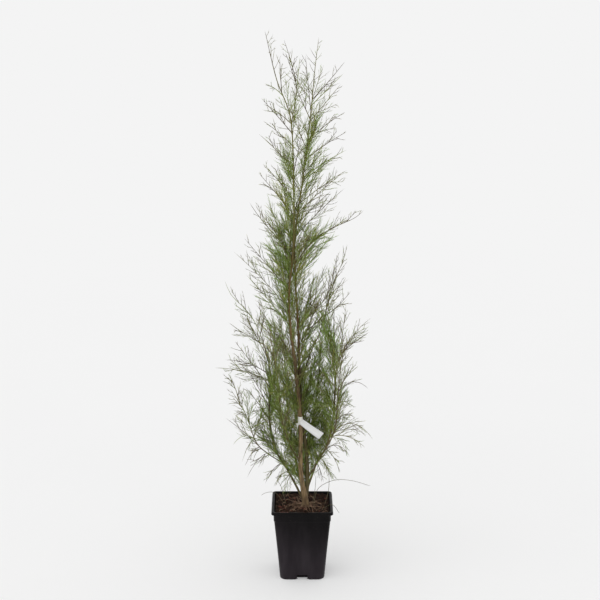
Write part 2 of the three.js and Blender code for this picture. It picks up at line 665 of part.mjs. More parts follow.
// Label: a band round the trunk with a flat tail that hangs to the right, in front.
function labelGeometry(trunk) {
  const { loopHeight, thickness, tailLength, tailWidth } = LABEL;
  const middle = trunkPointAtHeight(trunk, LABEL.height);
  const inner = middle.radius + LABEL_CLEAR;
  const band = new THREE.Shape().absarc(0, 0, inner + thickness, 0, 2 * Math.PI);
  band.holes.push(new THREE.Path().absarc(0, 0, inner, 0, 2 * Math.PI, true));
  const flat = { bevelEnabled: false, curveSegments: LABEL_SIDES / 2 };
  const loop = new THREE.ExtrudeGeometry(band, { ...flat, depth: loopHeight });
  loop.translate(0, 0, -loopHeight / 2);

  const tail = new THREE.BoxGeometry(tailLength, thickness, tailWidth).translate(tailLength / 2, 0, 0);
  const end = new THREE.BoxGeometry(LABEL_END.length, thickness, LABEL_END.width);
  end.translate(tailLength - LABEL_END.length / 2, 0, 0);
  const hung = (geometry) =>
    toSolid(geometry.rotateY(-LABEL_TILT).translate(0, -inner - thickness / 2, 0));

  const root = -inner;
  const low = -loopHeight / 2;
  const point = new THREE.Shape([
    new THREE.Vector2(root, low + 2),
    new THREE.Vector2(root - LABEL_POINT.out, low - LABEL_POINT.drop / 4),
    new THREE.Vector2(root - 1, low - LABEL_POINT.drop),
  ]);
  const pointGeometry = new THREE.ExtrudeGeometry(point, { ...flat, depth: thickness });
  pointGeometry.translate(0, 0, -thickness / 2).rotateX(Math.PI / 2);

  const label = toSolid(loop).add(hung(tail)).add(hung(end)).add(toSolid(pointGeometry));
  return toGeometry(label.translate([middle.at.x, middle.at.y, LABEL.height]));
}

function trunkPointAtHeight(trunk, height) {
  let [low, high] = [0, 1];
  for (let i = 0; i < 40; i++) {
    const half = (low + high) / 2;
    if (trunk.curve.getPointAt(half).z < height) low = half;
    else high = half;
  }
  return { at: trunk.curve.getPointAt(low), radius: trunk.radiusAt(low) };
}

// The label's space, as stretches along its loop and its tail.
function takeLabel(trunk) {
  const { at, radius } = trunkPointAtHeight(trunk, LABEL.height);
  const front = at.clone().setY(at.y - radius - LABEL_CLEAR - LABEL.thickness);
  const along = new THREE.Vector3(Math.cos(LABEL_TILT), 0, Math.sin(LABEL_TILT));
  const low = at.clone().setZ(at.z - LABEL.loopHeight / 2 - LABEL_POINT.drop);
  const tall = LABEL.loopHeight + LABEL_POINT.drop;
  const around = radius + LABEL_CLEAR + LABEL_POINT.out;
  const beside = LABEL_END.width / 2;
  take("label", (s) => front.clone().addScaledVector(along, s * LABEL.tailLength), () => beside, 6);
  take("label", (s) => low.clone().addScaledVector(UP, s * tall), () => around, 2);
}

addNode("pot", potGeometry(), plastic);
addNode("soil", soilGeometry(), peat);
LIMBS.forEach(growLimb);
takeLabel(grown.get("trunk"));
addNode("label", labelGeometry(grown.get("trunk")), paper);

const masses = [];
for (const limb of grown.values()) masses.push(planTipMass(limb));
for (const limb of grown.values()) {
  for (let number = 0; number < limb.masses; number++) masses.push(planSideMass(limb, number));
}
masses.forEach((mass, i) => growMass(mass, i));

export default tamarisk;
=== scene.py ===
"""A young tamarisk in a square nursery pot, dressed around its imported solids."""

import math

import bmesh
import bpy
import numpy as np
from mathutils import Matrix, Vector, noise


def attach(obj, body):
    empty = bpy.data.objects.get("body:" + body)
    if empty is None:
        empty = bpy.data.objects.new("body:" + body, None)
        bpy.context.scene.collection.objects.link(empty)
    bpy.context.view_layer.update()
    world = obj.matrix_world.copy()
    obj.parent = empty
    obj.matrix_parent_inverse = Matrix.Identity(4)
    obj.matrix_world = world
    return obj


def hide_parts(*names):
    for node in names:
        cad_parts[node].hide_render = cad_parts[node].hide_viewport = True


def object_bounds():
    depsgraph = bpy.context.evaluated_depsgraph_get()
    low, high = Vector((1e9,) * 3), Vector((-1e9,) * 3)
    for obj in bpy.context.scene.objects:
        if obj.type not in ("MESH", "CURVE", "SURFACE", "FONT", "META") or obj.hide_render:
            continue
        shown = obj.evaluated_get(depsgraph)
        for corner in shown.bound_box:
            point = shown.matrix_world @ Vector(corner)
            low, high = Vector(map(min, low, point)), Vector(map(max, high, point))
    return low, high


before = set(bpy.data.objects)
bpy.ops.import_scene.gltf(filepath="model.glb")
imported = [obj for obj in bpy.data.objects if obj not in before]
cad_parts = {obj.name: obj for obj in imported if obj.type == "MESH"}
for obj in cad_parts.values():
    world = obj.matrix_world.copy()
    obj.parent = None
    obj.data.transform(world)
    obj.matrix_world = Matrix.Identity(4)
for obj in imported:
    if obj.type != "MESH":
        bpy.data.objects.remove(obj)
cad_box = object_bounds()

# Sizes below are in millimetres and angles in radians, in the frame of the solids.
MM = 0.001
UP = np.array([0.0, 0.0, 1.0])
FULL_TURN = 2 * math.pi
GOLDEN_ANGLE = math.radians(137.508)

# Pot: a tapered wall between two rounded squares, with a collar on it and a rim turned down over that.
POT_HEIGHT = 160
POT_WALL = 1.6
POT_FLOOR = 2.5
WALL_FOOT = {"half": 48, "corner": 16}
WALL_HEAD = {"half": 60, "corner": 8, "height": 138}
WALL_BOW = 0.7
WALL_HEIGHTS = [2, *range(10, WALL_HEAD["height"] - 4, 8), WALL_HEAD["height"] - 1.2]
INSIDE_HEIGHTS = [*range(WALL_HEAD["height"] - 18, 10, -20), POT_FLOOR]
COLLAR_HALF = 61
RIM = {"half": 65, "lip": 66, "low": POT_HEIGHT - 6}

# Rings of the pot's shell where it isn't plain wall: the foot, then up the outside of the rim, over it and
# down. Each stretch has the half width and height that it starts from, then its rings as steps outwards,
# corner radii and steps up.
FOOT_RINGS = [(WALL_FOOT["half"], 0, [(-2, 14, 0), (-0.6, 15.4, 0.55)])]
RIM_RINGS = [
    (COLLAR_HALF, WALL_HEAD["height"], [(-0.8, 8, -0.5), (-0.2, 8, 0.2), (0, 8, 1)]),
    (COLLAR_HALF, RIM["low"], [(0.3, 8, -1), (0.8, 8, -0.2)]),
    (RIM["lip"], RIM["low"], [(-0.8, 8.2, -0.1), (-0.2, 8.2, 0.4), (0, 8.2, 1.2)]),
    (RIM["half"], POT_HEIGHT, [(0, 8, -1.4), (-0.4, 7.8, -0.4), (-1.3, 7.4, 0)]),
    (RIM["half"], POT_HEIGHT, [(-3.6, 6.8, 0), (-4.6, 6.4, -0.4), (-5.1, 6.2, -1.3)]),
    (COLLAR_HALF - POT_WALL, POT_HEIGHT, [(0, 6.2, -3)]),
    (WALL_HEAD["half"] - POT_WALL, WALL_HEAD["height"], [(0, 6.2, 0)]),
]
SLOT = {"width": 22, "low": 3, "high": 11, "depth": 13}
ARCH = {"width": 30, "height": 4, "sides": 32}
SHARP_EDGE = math.radians(40)
RING_POINTS = 96
ARC_STEPS = 7

# Potting mix. Each size of lump has a height, a width and a layer of the noise.
SOIL_TOP = 150
SOIL_CREST = 150.5
SOIL_HALF = 58.3
SOIL_CORNER = 6
SOIL_GAP = 0.2
SOIL_EDGE_DROP = 0.5
SOIL_BANK = 6
SOIL_RINGS = 40
SOIL_HEIGHTS = (14, 50, 85, 120)
SOIL_LUMPS = [(3.4, 13, 3.1), (1.5, 5, 7.7), (0.8, 2.2, 1.3)]
SMOOTH_ROUND_STEM = 16
TRUNK_FOOT = (6, -2)

# Litter on the mix. A heap of chips has a middle, a spread and a number.
LITTER = {"seed": 5, "reach": SOIL_HALF - 3, "off stem": 9, "tilt": 0.5, "uneven": (0.7, 1.3)}
CRUMBS = {"count": 900, "size": (1.2, 4.2), "shape": (0.7, 1.2), "lift": 0.15}
CHIPS = {"count": 34, "least": (3, 1.6, 0.7), "most": (9, 4.5, 1.8), "reach": SOIL_HALF - 4, "lift": 0.7}
CHIP_HEAPS = [((-45, -48), (7, 4), 16), ((44, -47), (7, 4), 12)]
FIBRES = {"seed": 17, "count": 110, "steps": 10, "bend": 1.1, "reach": SOIL_HALF - 2, "rest": 0.4}
FIBRE_GIRTH = {"radius": (0.25, 0.6), "taper": 0.5, "sides": 4}
FIBRE_ARCH = (0.8, 1.2)
ROOTED = {"count": 48, "off stem": 6, "length": (22, 56), "lift": (1, 8), "climb": (6, 3)}
LOOSE = {"reach": SOIL_HALF - 10, "length": (8, 30), "lift": (1, 5)}

# Thin dry stalks that lean out of the pot: each runs through a few points, from the mix outwards.
DRY_STALKS = [
    [(24, -8, 148), (31, -10, 188), (48, -12, 206), (76, -14, 216), (110, -14, 213), (148, -14, 201)],
    [(22, 20, 148), (28, 24, 180), (30, 24, 212)],
    [(48, 12, 146), (57, 14, 180), (58, 15, 214), (53, 15, 250)],
    [(40, -20, 148), (58, -26, 163), (68, -30, 163), (80, -32, 146)],
    [(-38, 20, 146), (-54, 22, 168), (-66, 22, 174), (-80, 22, 172), (-90, 22, 166)],
    [(-34, 12, 146), (-46, 14, 190), (-54, 14, 206), (-48, 14, 226)],
]
STALK = {"radius": 0.62, "taper": 0.6, "steps": 24, "sides": 5}

# Growth, by the rule of the solids.
CROWN_REACH = {
    "height": [200, 300, 465, 570, 645, 740, 800, 920, 1060, 1161],
    "left": [95, 135, 178, 140, 150, 118, 108, 82, 86, 78],
    "right": [75, 140, 122, 143, 95, 92, 126, 90, 86, 60],
    "depth": [80, 120, 130, 125, 115, 100, 95, 80, 70, 50],
}
SHOOT_HABIT = {
    "height": [200, 330, 400, 480, 700, 900, 1060, 1161],
    "climb": [-0.8, -0.1, 0.45, 0.8, 1.0, 1.1, 1.1, 1.1],
    "arch": [0.42, 0.34, 0.2, 0.1, 0.02, -0.02, -0.04, -0.04],
    "longest": [80, 120, 140, 150, 130, 92, 60, 30],
}
SEED_STEP = 1000
CLIMB_SPREAD = 0.6
SHORTEST_RUN = 26
KNEE_SHARE = 0.45
REACH_AHEAD = 0.7
TURN_SPREAD = math.radians(24)
SHOOTS_PER_MASS = 6
MASS_OFFSET = 3
TWIG_SPAN = (0.06, 0.94)
TWIG_SHARE = 0.34
TWIG_LEAST = 14
TWIG_ROLL = math.radians(65)

# Limbs, as in the solids: each runs from its place on another limb through its path. Only the scene uses
# fill, how many brushes grow on it, slim, how thin its wood is drawn, and tip_end, where its tip stops.
STEMS = ("trunk", "second_stem")
LIMBS = [
    {
        "name": "trunk",
        "path": [
            [6, -2, 150.3], [6, -2, 168], [-3, -5, 235], [-4, -6, 345], [-14, -5, 460],
            [-28, -5, 600], [-18, -4, 735], [-18, -2, 860], [-24, 0, 985], [-52, -4, 1065],
            [-75, -8, 1161],
        ],
        "radii": [(0, 7.5), (0.03, 6.4), (0.06, 5), (0.2, 4.2), (0.45, 2.7), (0.7, 1.8), (1, 0.6)],
        "wood_end": 0.91, "bare": 0.24, "masses": 8, "longest": 150, "turn": 211, "seed": 11,
    },
    {
        "name": "second_stem", "from": "trunk", "at": 0.012,
        "path": [
            [11, 4, 205], [9, 6, 270], [-1, 7, 350], [-6, 7, 440], [-8, 6, 533], [-14, 5, 640],
            [-15, 5, 742], [1, 4, 861], [12, 3, 952], [19, 2, 1017], [26, 1, 1091], [33, 0, 1148],
        ],
        "radii": [(0, 4.7), (0.2, 3.9), (0.45, 2.5), (0.7, 1.7), (1, 0.6)],
        "wood_end": 0.9, "bare": 0.26, "masses": 7, "longest": 150, "turn": 20, "seed": 23,
    },
    {
        "name": "bough_left_low", "from": "trunk", "at": 0.006,
        "path": [
            [-29, 2, 228], [-57, 4, 278], [-70, 6, 346], [-69, 8, 459], [-101, 8, 561],
            [-148, 6, 617], [-162, 4, 650],
        ],
        "radii": [(0, 2.9), (0.5, 2.1), (1, 0.7)],
        "wood_end": 0.66, "bare": 0.2, "masses": 2, "longest": 115, "turn": 60, "seed": 31,
        "fill": 0.75,
    },
    {
        "name": "bough_left_outer", "from": "bough_left_low", "at": 0.19,
        "path": [[-75, -8, 274], [-99, -16, 303], [-120, -22, 366], [-150, -26, 420], [-184, -28, 466]],
        "radii": [(0, 1.9), (1, 0.7)],
        "wood_end": 0.5, "bare": 0.15, "masses": 2, "longest": 90, "turn": 190, "seed": 43,
        "fill": 0.35, "slim": 0.62, "tip_end": 0.8,
    },
    {
        "name": "bough_right_low", "from": "second_stem", "at": 0.025,
        "path": [
            [34, 1, 256], [50, -2, 282], [63, -5, 330], [69, -7, 397], [71, -7, 440], [86, -6, 500],
            [116, -5, 545], [145, -4, 572],
        ],
        "radii": [(0, 2.7), (0.5, 2), (1, 0.7)],
        "wood_end": 0.62, "bare": 0.2, "masses": 2, "longest": 110, "turn": 325, "seed": 53,
    },
    {
        "name": "bough_right_upper", "from": "second_stem", "at": 0.26,
        "path": [[18, 12, 492], [39, 16, 540], [66, 18, 640], [86, 18, 690], [94, 17, 726]],
        "radii": [(0, 1.9), (1, 0.7)],
        "wood_end": 0.55, "bare": 0.3, "masses": 2, "longest": 80, "turn": 15, "seed": 61,
        "fill": 0, "slim": 0.7,
    },
    {
        "name": "bough_back_left", "from": "trunk", "at": 0.045,
        "path": [[-14, 26, 245], [-30, 62, 320], [-36, 82, 420], [-44, 100, 510], [-56, 122, 585]],
        "radii": [(0, 2.4), (1, 0.7)],
        "wood_end": 0.6, "bare": 0.3, "masses": 2, "longest": 95, "turn": 130, "seed": 71,
    },
    {
        "name": "bough_back_right", "from": "second_stem", "at": 0.1,
        "path": [[22, 32, 330], [34, 62, 400], [42, 84, 490], [52, 104, 565], [60, 124, 630]],
        "radii": [(0, 2.2), (1, 0.7)],
        "wood_end": 0.58, "bare": 0.25, "masses": 2, "longest": 95, "turn": 70, "seed": 83,
    },
    {
        "name": "bough_front_left", "from": "trunk", "at": 0.1,
        "path": [[-26, -32, 300], [-42, -62, 365], [-50, -80, 450], [-60, -98, 530], [-74, -116, 590]],
        "radii": [(0, 2.1), (1, 0.7)],
        "wood_end": 0.58, "bare": 0.25, "masses": 2, "longest": 85, "turn": 240, "seed": 97,
    },
    {
        "name": "bough_front_right", "from": "second_stem", "at": 0.05,
        "path": [[44, -26, 280], [68, -48, 340], [74, -68, 420], [80, -88, 495], [92, -108, 560]],
        "radii": [(0, 2.2), (1, 0.7)],
        "wood_end": 0.58, "bare": 0.25, "masses": 2, "longest": 85, "turn": 290, "seed": 101,
    },
    {
        "name": "bough_left_top", "from": "trunk", "at": 0.53,
        "path": [[-45, -8, 733], [-74, -12, 768], [-93, -14, 793], [-108, -15, 816]],
        "radii": [(0, 1.5), (1, 0.7)],
        "wood_end": 0.4, "bare": 0.2, "masses": 0, "longest": 60, "turn": 100, "seed": 107,
        "slim": 0.7,
    },
    {
        "name": "bough_right_top", "from": "second_stem", "at": 0.53,
        "path": [[27, 0, 738], [68, -4, 764], [106, -6, 782], [126, -6, 798]],
        "radii": [(0, 1.6), (1, 0.7)],
        "wood_end": 0.4, "bare": 0.2, "masses": 0, "longest": 60, "turn": 200, "seed": 113,
        "slim": 0.62,
    },
    {
        "name": "bough_top_middle", "from": "trunk", "at": 0.81,
        "path": [[-14, 4, 1022], [-12, 6, 1052], [-22, 8, 1096], [-37, 8, 1143]],
        "radii": [(0, 1.2), (1, 0.6)],
        "wood_end": 0.42, "bare": 0.25, "masses": 0, "longest": 40, "turn": 80, "seed": 127,
        "fill": 0.15,
    },
]
ARC_SAMPLES = 201

# Wood: its mesh, and its relief as shares of its radius. A furrow has a depth, a number round the limb, a
# length and the side of the noise that it comes from.
STEM_MESH = {"sides": 20, "spacing": 2.0}
BOUGH_MESH = {"sides": 12, "spacing": 2.6}
WELD = 1e-4
STEM_SLIMNESS = ([450, 620, 1000], [1, 0.8, 0.85])
BOUGH_SLIMNESS = 0.84
WOOD_INTO_TIP = 0.02
TRUNK_SUNK = 9
SHOOT_COLLAR = {"swell": 0.16, "length": 2.4}
BOUGH_COLLAR = {"swell": 0.35, "length": 9}
FURROWS = [(0.11, 1.6, 26, 1), (0.055, 3.4, 11, -1)]
KNOBS = {"height": 0.22, "round": 2.2, "length": 2.6, "layer": 40, "least": 0.35}
FLARE = {"swell": 0.4, "height": 7, "lobes": 5, "lobe": 0.25}

# Growth finer than the solids carry.
HEADING_STEP = 0.01
NEARLY_UPRIGHT = 0.97
ROLL_SPREAD = 0.3
ANGLE_SPREAD = 0.13
TWIGS_PER_SOLID_TWIG = 2
TWIG_SPACING = 5.6
FEWEST_TWIGS = 3
TWIG_TAPER = 0.7
TWIG_SIZES = (0.5, 1)
TWIG_RISE = ([200, 380, 600], [-0.15, 0.03, 0.12])
TWIG_BEND = {"ahead": 0.16, "back": 0.12, "spread": 0.05}
TWIG_SEEN_AT = 0.6
TWIG_RADIUS = (0.46, 0.2)
TWIG_STEPS = np.linspace(0, 1, 5)
BRANCHLET_SPACING = 4.0
BRANCHLET_SPAN = (0.1, 0.98)
BRANCHLET_SHARE = (0.42, 0.16)
BRANCHLET_LENGTH = (7, 24)
BRANCHLET_SIZES = (0.7, 1.15)
BRANCHLET_TURN = 0.7
BRANCHLET_LEAN = 0.12
BRANCHLET_CURL = 0.12
BRANCHLET_RADIUS = (0.32, 0.24, 0)
BRANCHLET_STEPS = np.array([0, 0.55, 1])
FINEST_SIDES = 3
LEAVES_PER_BRANCHLET = 2
LEAF = {"length": 1.7, "width": 0.5, "angle": math.radians(17), "set": 0.6, "widest": 0.45}
LEAF_SIZES = (0.75, 1.2)
FORK_SPACING = 24
FORK_SPAN = (0.1, 0.72)
FORK_ANGLE = math.radians(31)
FORK_SHARE = 0.5
FORK_LEAST = 8
FORK_SIZES = (0.6, 1)
FORK_TIP = {"out": 1, "ahead": 0.1}
FORK_KNEE = {"out": 0.55, "ahead": -0.05}
INFILL_STEPS = 3
INFILL_REACH = (0.12, 0.65)
CLIMB_RANGE = (0.5, 1.4)
DEEP_HEADING = 0.75
CLEAR_HEADING = 0.35
DEEP_SHARE = 0.5
BRUSH_ARCH = 0.3
BRUSH_LENGTHS = (0.6, 1)
TINT_SPREAD = 0.2
LOWEST_SHOOT = 0.07
BENDS = np.linspace(0, 1, 9)
FOOT_SAMPLES = 400

# How full the crown is at each height.
FULLNESS = {
    "height": [190, 300, 430, 520, 600, 720, 830, 930, 1040, 1161],
    "stem brushes": [0.9, 1, 0.75, 0.8, 0.75, 0.75, 0.52, 0.52, 0.08, 0.05],
    "bough brushes": [0.8, 1, 0.5, 0.5, 0.3, 0.35, 0.5, 0.5, 0.4, 0.2],
    "climb": [1.7, 1.9, 2.1, 2.1, 1.9, 1.8, 1.7, 1.5, 1.3, 1.2],
    "longest": [60, 85, 95, 95, 90, 85, 78, 70, 60, 45],
    "forks": [0.6, 0.8, 0.95, 0.9, 0.6, 0.6, 0.6, 0.55, 0.3, 0.2],
    "twigs": [0.9, 1, 1, 1, 1, 1, 1, 1, 0.9, 0.9],
    "branchlets": [0.9, 1, 1, 1, 1, 1, 0.9, 0.65, 0.35, 0.25],
    "size": [1, 1, 1, 0.95, 0.9, 0.9, 0.9, 0.9, 0.95, 0.9],
    "spread": [1, 1, 1, 1, 1, 1, 1.05, 1.15, 1.25, 1.2],
}

# Kinds of shoot: how each is drawn, how full it grows, and its weights of the spray and wood colours.
SHOOT_KINDS = {
    "plume": {
        "radius": (0.95, 0.34), "steps": 12, "sides": 5, "girth": 1.25,
        "twigs": 0.4, "angle": math.radians(42), "branchlets": 0.36, "lean": math.radians(36),
        "colours": (0.3, 0.6, 0.6, 2.3, 0.7, 1.7), "wood": (0.5, 0.38, 0.12),
    },
    "fork": {
        "radius": (0.65, 0.26), "steps": 8, "sides": 4, "girth": 1.15,
        "twigs": 0.66, "angle": math.radians(36), "branchlets": 0.55, "lean": math.radians(32),
        "colours": (0.4, 0.7, 0.7, 2, 0.8, 1.6), "wood": (0.3, 0.45, 0.25),
    },
    "brush": {
        "radius": (0.6, 0.22), "steps": 8, "sides": 4, "girth": 1,
        "twigs": 1.05, "angle": math.radians(27), "branchlets": 1.15, "lean": math.radians(25),
        "colours": (2.1, 1.2, 0.9, 0.5, 0.8, 0.2), "wood": (0.05, 0.3, 0.65),
    },
}
SHOOT_KINDS["tuft"] = {
    **SHOOT_KINDS["brush"], "colours": (0.5, 1.3, 2.2, 0.3, 1.2, 0.1), "wood": (0.05, 0.25, 0.7)
}
CROWN_MARGIN = {"twig": 2, "branchlet": 5}
LOWEST_GROWTH = 196
CLEAR_OF_STEM = 6
STEMS_SHOW_TO = 790
STEM_VEIL = 0.25
SIGHT_SAMPLES = 300

# Shoots that stand out in the outline: the height where each leaves its limb, its tip, and its arch.
LEADING_SHOOTS = {
    "trunk": [
        (999, (16, -6, 1073), 0), (1031, (-74, -4, 1055), 8), (975, (-79, -10, 1016), 8),
        (930, (-80, 10, 980), 6), (885, (-88, -4, 955), 4), (819, (-80, -24, 898), 4),
        (788, (-91, 6, 876), 2), (630, (-120, -6, 741), 0), (555, (-117, -12, 666), 0),
        (485, (-98, -10, 604), 0), (440, (-82, 6, 566), 0),
    ],
    "second_stem": [
        (1000, (6, -6, 1112), 0), (985, (-20, -8, 1063), 0), (1023, (86, -4, 1101), -4),
        (979, (77, -20, 1056), 0), (942, (86, -6, 999), 6), (902, (90, 8, 958), 6),
        (865, (90, -14, 924), 6), (811, (92, -4, 882), 6), (767, (58, -24, 841), 4),
        (505, (46, -10, 632), 0), (545, (58, 8, 662), 0),
    ],
    "bough_left_low": [
        (511, (-156, 0, 561), -6), (415, (-142, -8, 522), 0), (430, (-184, -24, 468), 14),
        (372, (-112, 4, 452), 0), (345, (-120, -6, 420), 4), (480, (-126, -8, 590), 0),
        (255, (-86, -6, 318), 4), (268, (-97, 6, 343), 6), (265, (-119, -10, 218), 50),
        (246, (-80, -8, 204), 26), (228, (-62, 6, 192), 20),
    ],
    "bough_left_outer": [
        (388, (-155, -24, 453), 16), (380, (-147, -24, 404), 0), (362, (-138, -20, 373), 4),
        (287, (-162, -16, 355), 6), (305, (-147, -30, 300), 30), (285, (-104, -8, 262), 14),
    ],
    "bough_right_low": [
        (496, (141, -10, 542), 6), (430, (66, -4, 592), -6), (470, (92, 4, 600), -6),
        (401, (140, -8, 417), 46), (408, (118, 10, 462), 10), (310, (152, -6, 303), 66),
        (334, (107, -20, 365), 20), (274, (102, -4, 266), 40), (262, (64, -6, 212), 18),
        (248, (46, 6, 203), 14), (280, (82, -12, 230), 24),
    ],
    "bough_top_middle": [(1040, (-5, 0, 1108), 0), (1055, (-34, -4, 1118), 2)],
    "bough_right_upper": [(565, (72, 0, 704), -10), (570, (102, -4, 629), -10)],
}

# Places where brushes crowd into soft green tufts: the heights between which they leave a limb, the middle
# of their tips, how far those spread, and their number.
TUFTS = {
    "trunk": [
        (650, 720, (-62, -14, 738), 14, 8), (625, 685, (-60, -12, 702), 14, 6),
        (640, 690, (-76, -8, 722), 8, 4),
        (845, 900, (-50, -6, 918), 16, 4), (780, 840, (-42, 8, 850), 16, 4),
        (545, 610, (-46, -10, 640), 16, 5), (525, 585, (-54, -8, 615), 14, 4),
        (330, 420, (-34, 22, 440), 16, 5), (300, 380, (-30, 10, 400), 18, 5),
        (240, 300, (-34, 6, 300), 14, 10), (188, 225, (-28, 2, 268), 10, 10),
    ],
    "second_stem": [
        (880, 950, (32, -6, 978), 14, 7), (850, 900, (0, 4, 930), 9, 4),
        (815, 875, (48, -4, 905), 12, 5), (925, 985, (30, -6, 1018), 9, 3),
        (650, 720, (50, -4, 742), 10, 5), (460, 540, (22, 2, 560), 16, 4),
        (370, 440, (40, 14, 480), 14, 6), (230, 280, (24, 8, 290), 12, 7),
        (190, 225, (22, 6, 262), 9, 5),
    ],
    "bough_left_low": [
        (400, 470, (-60, 0, 510), 16, 6), (320, 390, (-62, -4, 440), 16, 6),
        (245, 300, (-92, -8, 322), 12, 8), (285, 345, (-88, 2, 380), 10, 2),
    ],
    "bough_right_low": [
        (420, 490, (46, 0, 575), 10, 7), (360, 420, (46, 2, 466), 16, 4), (290, 330, (42, 16, 365), 14, 7),
    ],
    "bough_right_top": [(706, 756, (66, -4, 762), 14, 6)],
}

# Places deep in the crown that deeper green brushes fill, in the same terms.
THICKETS = {
    "trunk": [
        (570, 680, (-18, 16, 705), 8, 7), (660, 740, (-14, 14, 790), 8, 2),
        (215, 300, (2, 18, 330), 8, 9),
    ],
    "second_stem": [
        (520, 600, (8, 10, 655), 12, 2), (320, 400, (14, 22, 420), 14, 5),
        (280, 350, (26, 14, 370), 16, 6), (240, 290, (28, 24, 322), 9, 7),
        (172, 200, (3, 14, 255), 4, 6),
    ],
    "bough_right_low": [(258, 300, (40, 26, 338), 11, 8)],
}

# Gaps that let the room show through the crown: the middle of each, and half its width and height, as seen
# from the front.
CROWN_GAPS = [
    ((84, 383), (16, 28)), ((-1, 738), (7, 16)), ((-13, 520), (6, 32)), ((8, 620), (8, 22)),
    ((-4, 918), (7, 14)), ((42, 822), (20, 15)), ((-56, 778), (9, 12)), ((68, 623), (9, 14)),
    ((-20, 430), (7, 20)), ((-97, 651), (9, 12)), ((-135, 368), (10, 12)), ((-33, 268), (8, 12)),
    ((-113, 542), (9, 12)), ((-135, 472), (10, 12)),
]

# Label: a band round the trunk with a point below it, and a flat tail that hangs to the right, in front.
LABEL = {"height": 347, "thickness": 0.6, "tilt": math.radians(-37), "clear": 0.8, "samples": 2000}
LABEL_BAND = {"height": 17, "sides": 40, "steps": 6}
LABEL_TAIL = {"length": 56, "width": 12.5, "end_width": 17, "sag": 2.2, "cup": 0.012}
LABEL_POINT = {"length": 14, "width": 6.5, "tuck": 2, "aside": 1.5, "forward": 1}
STRIP_SEGMENTS = (24, 4)
LABEL_MIDDLE = (-4, -6)
LABEL_SIGHT = {"left": -14, "right": 66, "half": 18}

# Studio: white paper in a white room, with one very large soft light from the upper left, in front. The
# paper glows as the room does, more with the distance from the pot in metres; the slight glow it keeps next
# to the pot is painted light that lifts the pot's shadow.
ROOM_WHITE = "#f4f4f4"
ROOM_LIGHT = 0.97
KEY_LIGHT = {"power": 0.55, "spread": math.radians(70), "heading": (0.55, 0.6, -0.75)}
PAPER_GLOW = {"From Min": 0.6, "From Max": 5.0, "To Min": 0.3}
PAPER_RADIUS = 40000
PAPER_SIDES = 96

# Camera: on the photograph's side, a little above the plant and looking down at it.
CAMERA = {"place": (-4.8, -2691, 1222.3), "pitch": math.radians(12.85), "lens": 79.2, "sensor": 36}
FARTHEST_SEEN = 200


# Materials

MIX_FACTOR, MIX_UNDER, MIX_OVER, MIX_RESULT = 0, 6, 7, 2


def linear(colour):
    """A colour written as #rrggbb in linear values."""
    parts = [int(colour[i:i + 2], 16) / 255 for i in (1, 3, 5)]
    return [c / 12.92 if c <= 0.04045 else ((c + 0.055) / 1.055) ** 2.4 for c in parts] + [1.0]


def per_mm(size):
    """The texture scale that gives features of that size."""
    return 1 / (size * MM)


def feed(tree, node, inputs):
    """Links a node's inputs to outputs, or sets them to numbers and to colours written as #rrggbb."""
    for name, value in inputs.items():
        if isinstance(value, bpy.types.NodeSocket):
            tree.links.new(value, node.inputs[name])
        else:
            node.inputs[name].default_value = linear(value) if isinstance(value, str) else value


def add_node(tree, kind, inputs=None, out=0, **settings):
    """Adds a node with its settings and inputs, and gives one of its outputs."""
    node = tree.nodes.new("ShaderNode" + kind)
    for name, value in settings.items():
        setattr(node, name, value)
    feed(tree, node, inputs or {})
    return node.outputs[out]


def new_material(name, surface):
    """A material with constants on its shader, that shader, and the tree they are in."""
    made = bpy.data.materials.new(name)
    made.use_nodes = True
    shader = made.node_tree.nodes["Principled BSDF"]
    feed(made.node_tree, shader, surface)
    return made, made.node_tree, shader


def painted(tree, colour, layers):
    """Tints laid over a colour: for each a pattern, the values where it starts and where it is full, how
    much it covers then, and its tint."""
    for pattern, start, full, cover, tint in layers:
        share = add_node(
            tree, "MapRange", {"Value": pattern, "From Min": start, "From Max": full, "To Max": cover}
        )
        inputs = {MIX_FACTOR: share, MIX_UNDER: colour, MIX_OVER: tint}
        colour = add_node(tree, "Mix", inputs, MIX_RESULT, data_type="RGBA")
    return colour


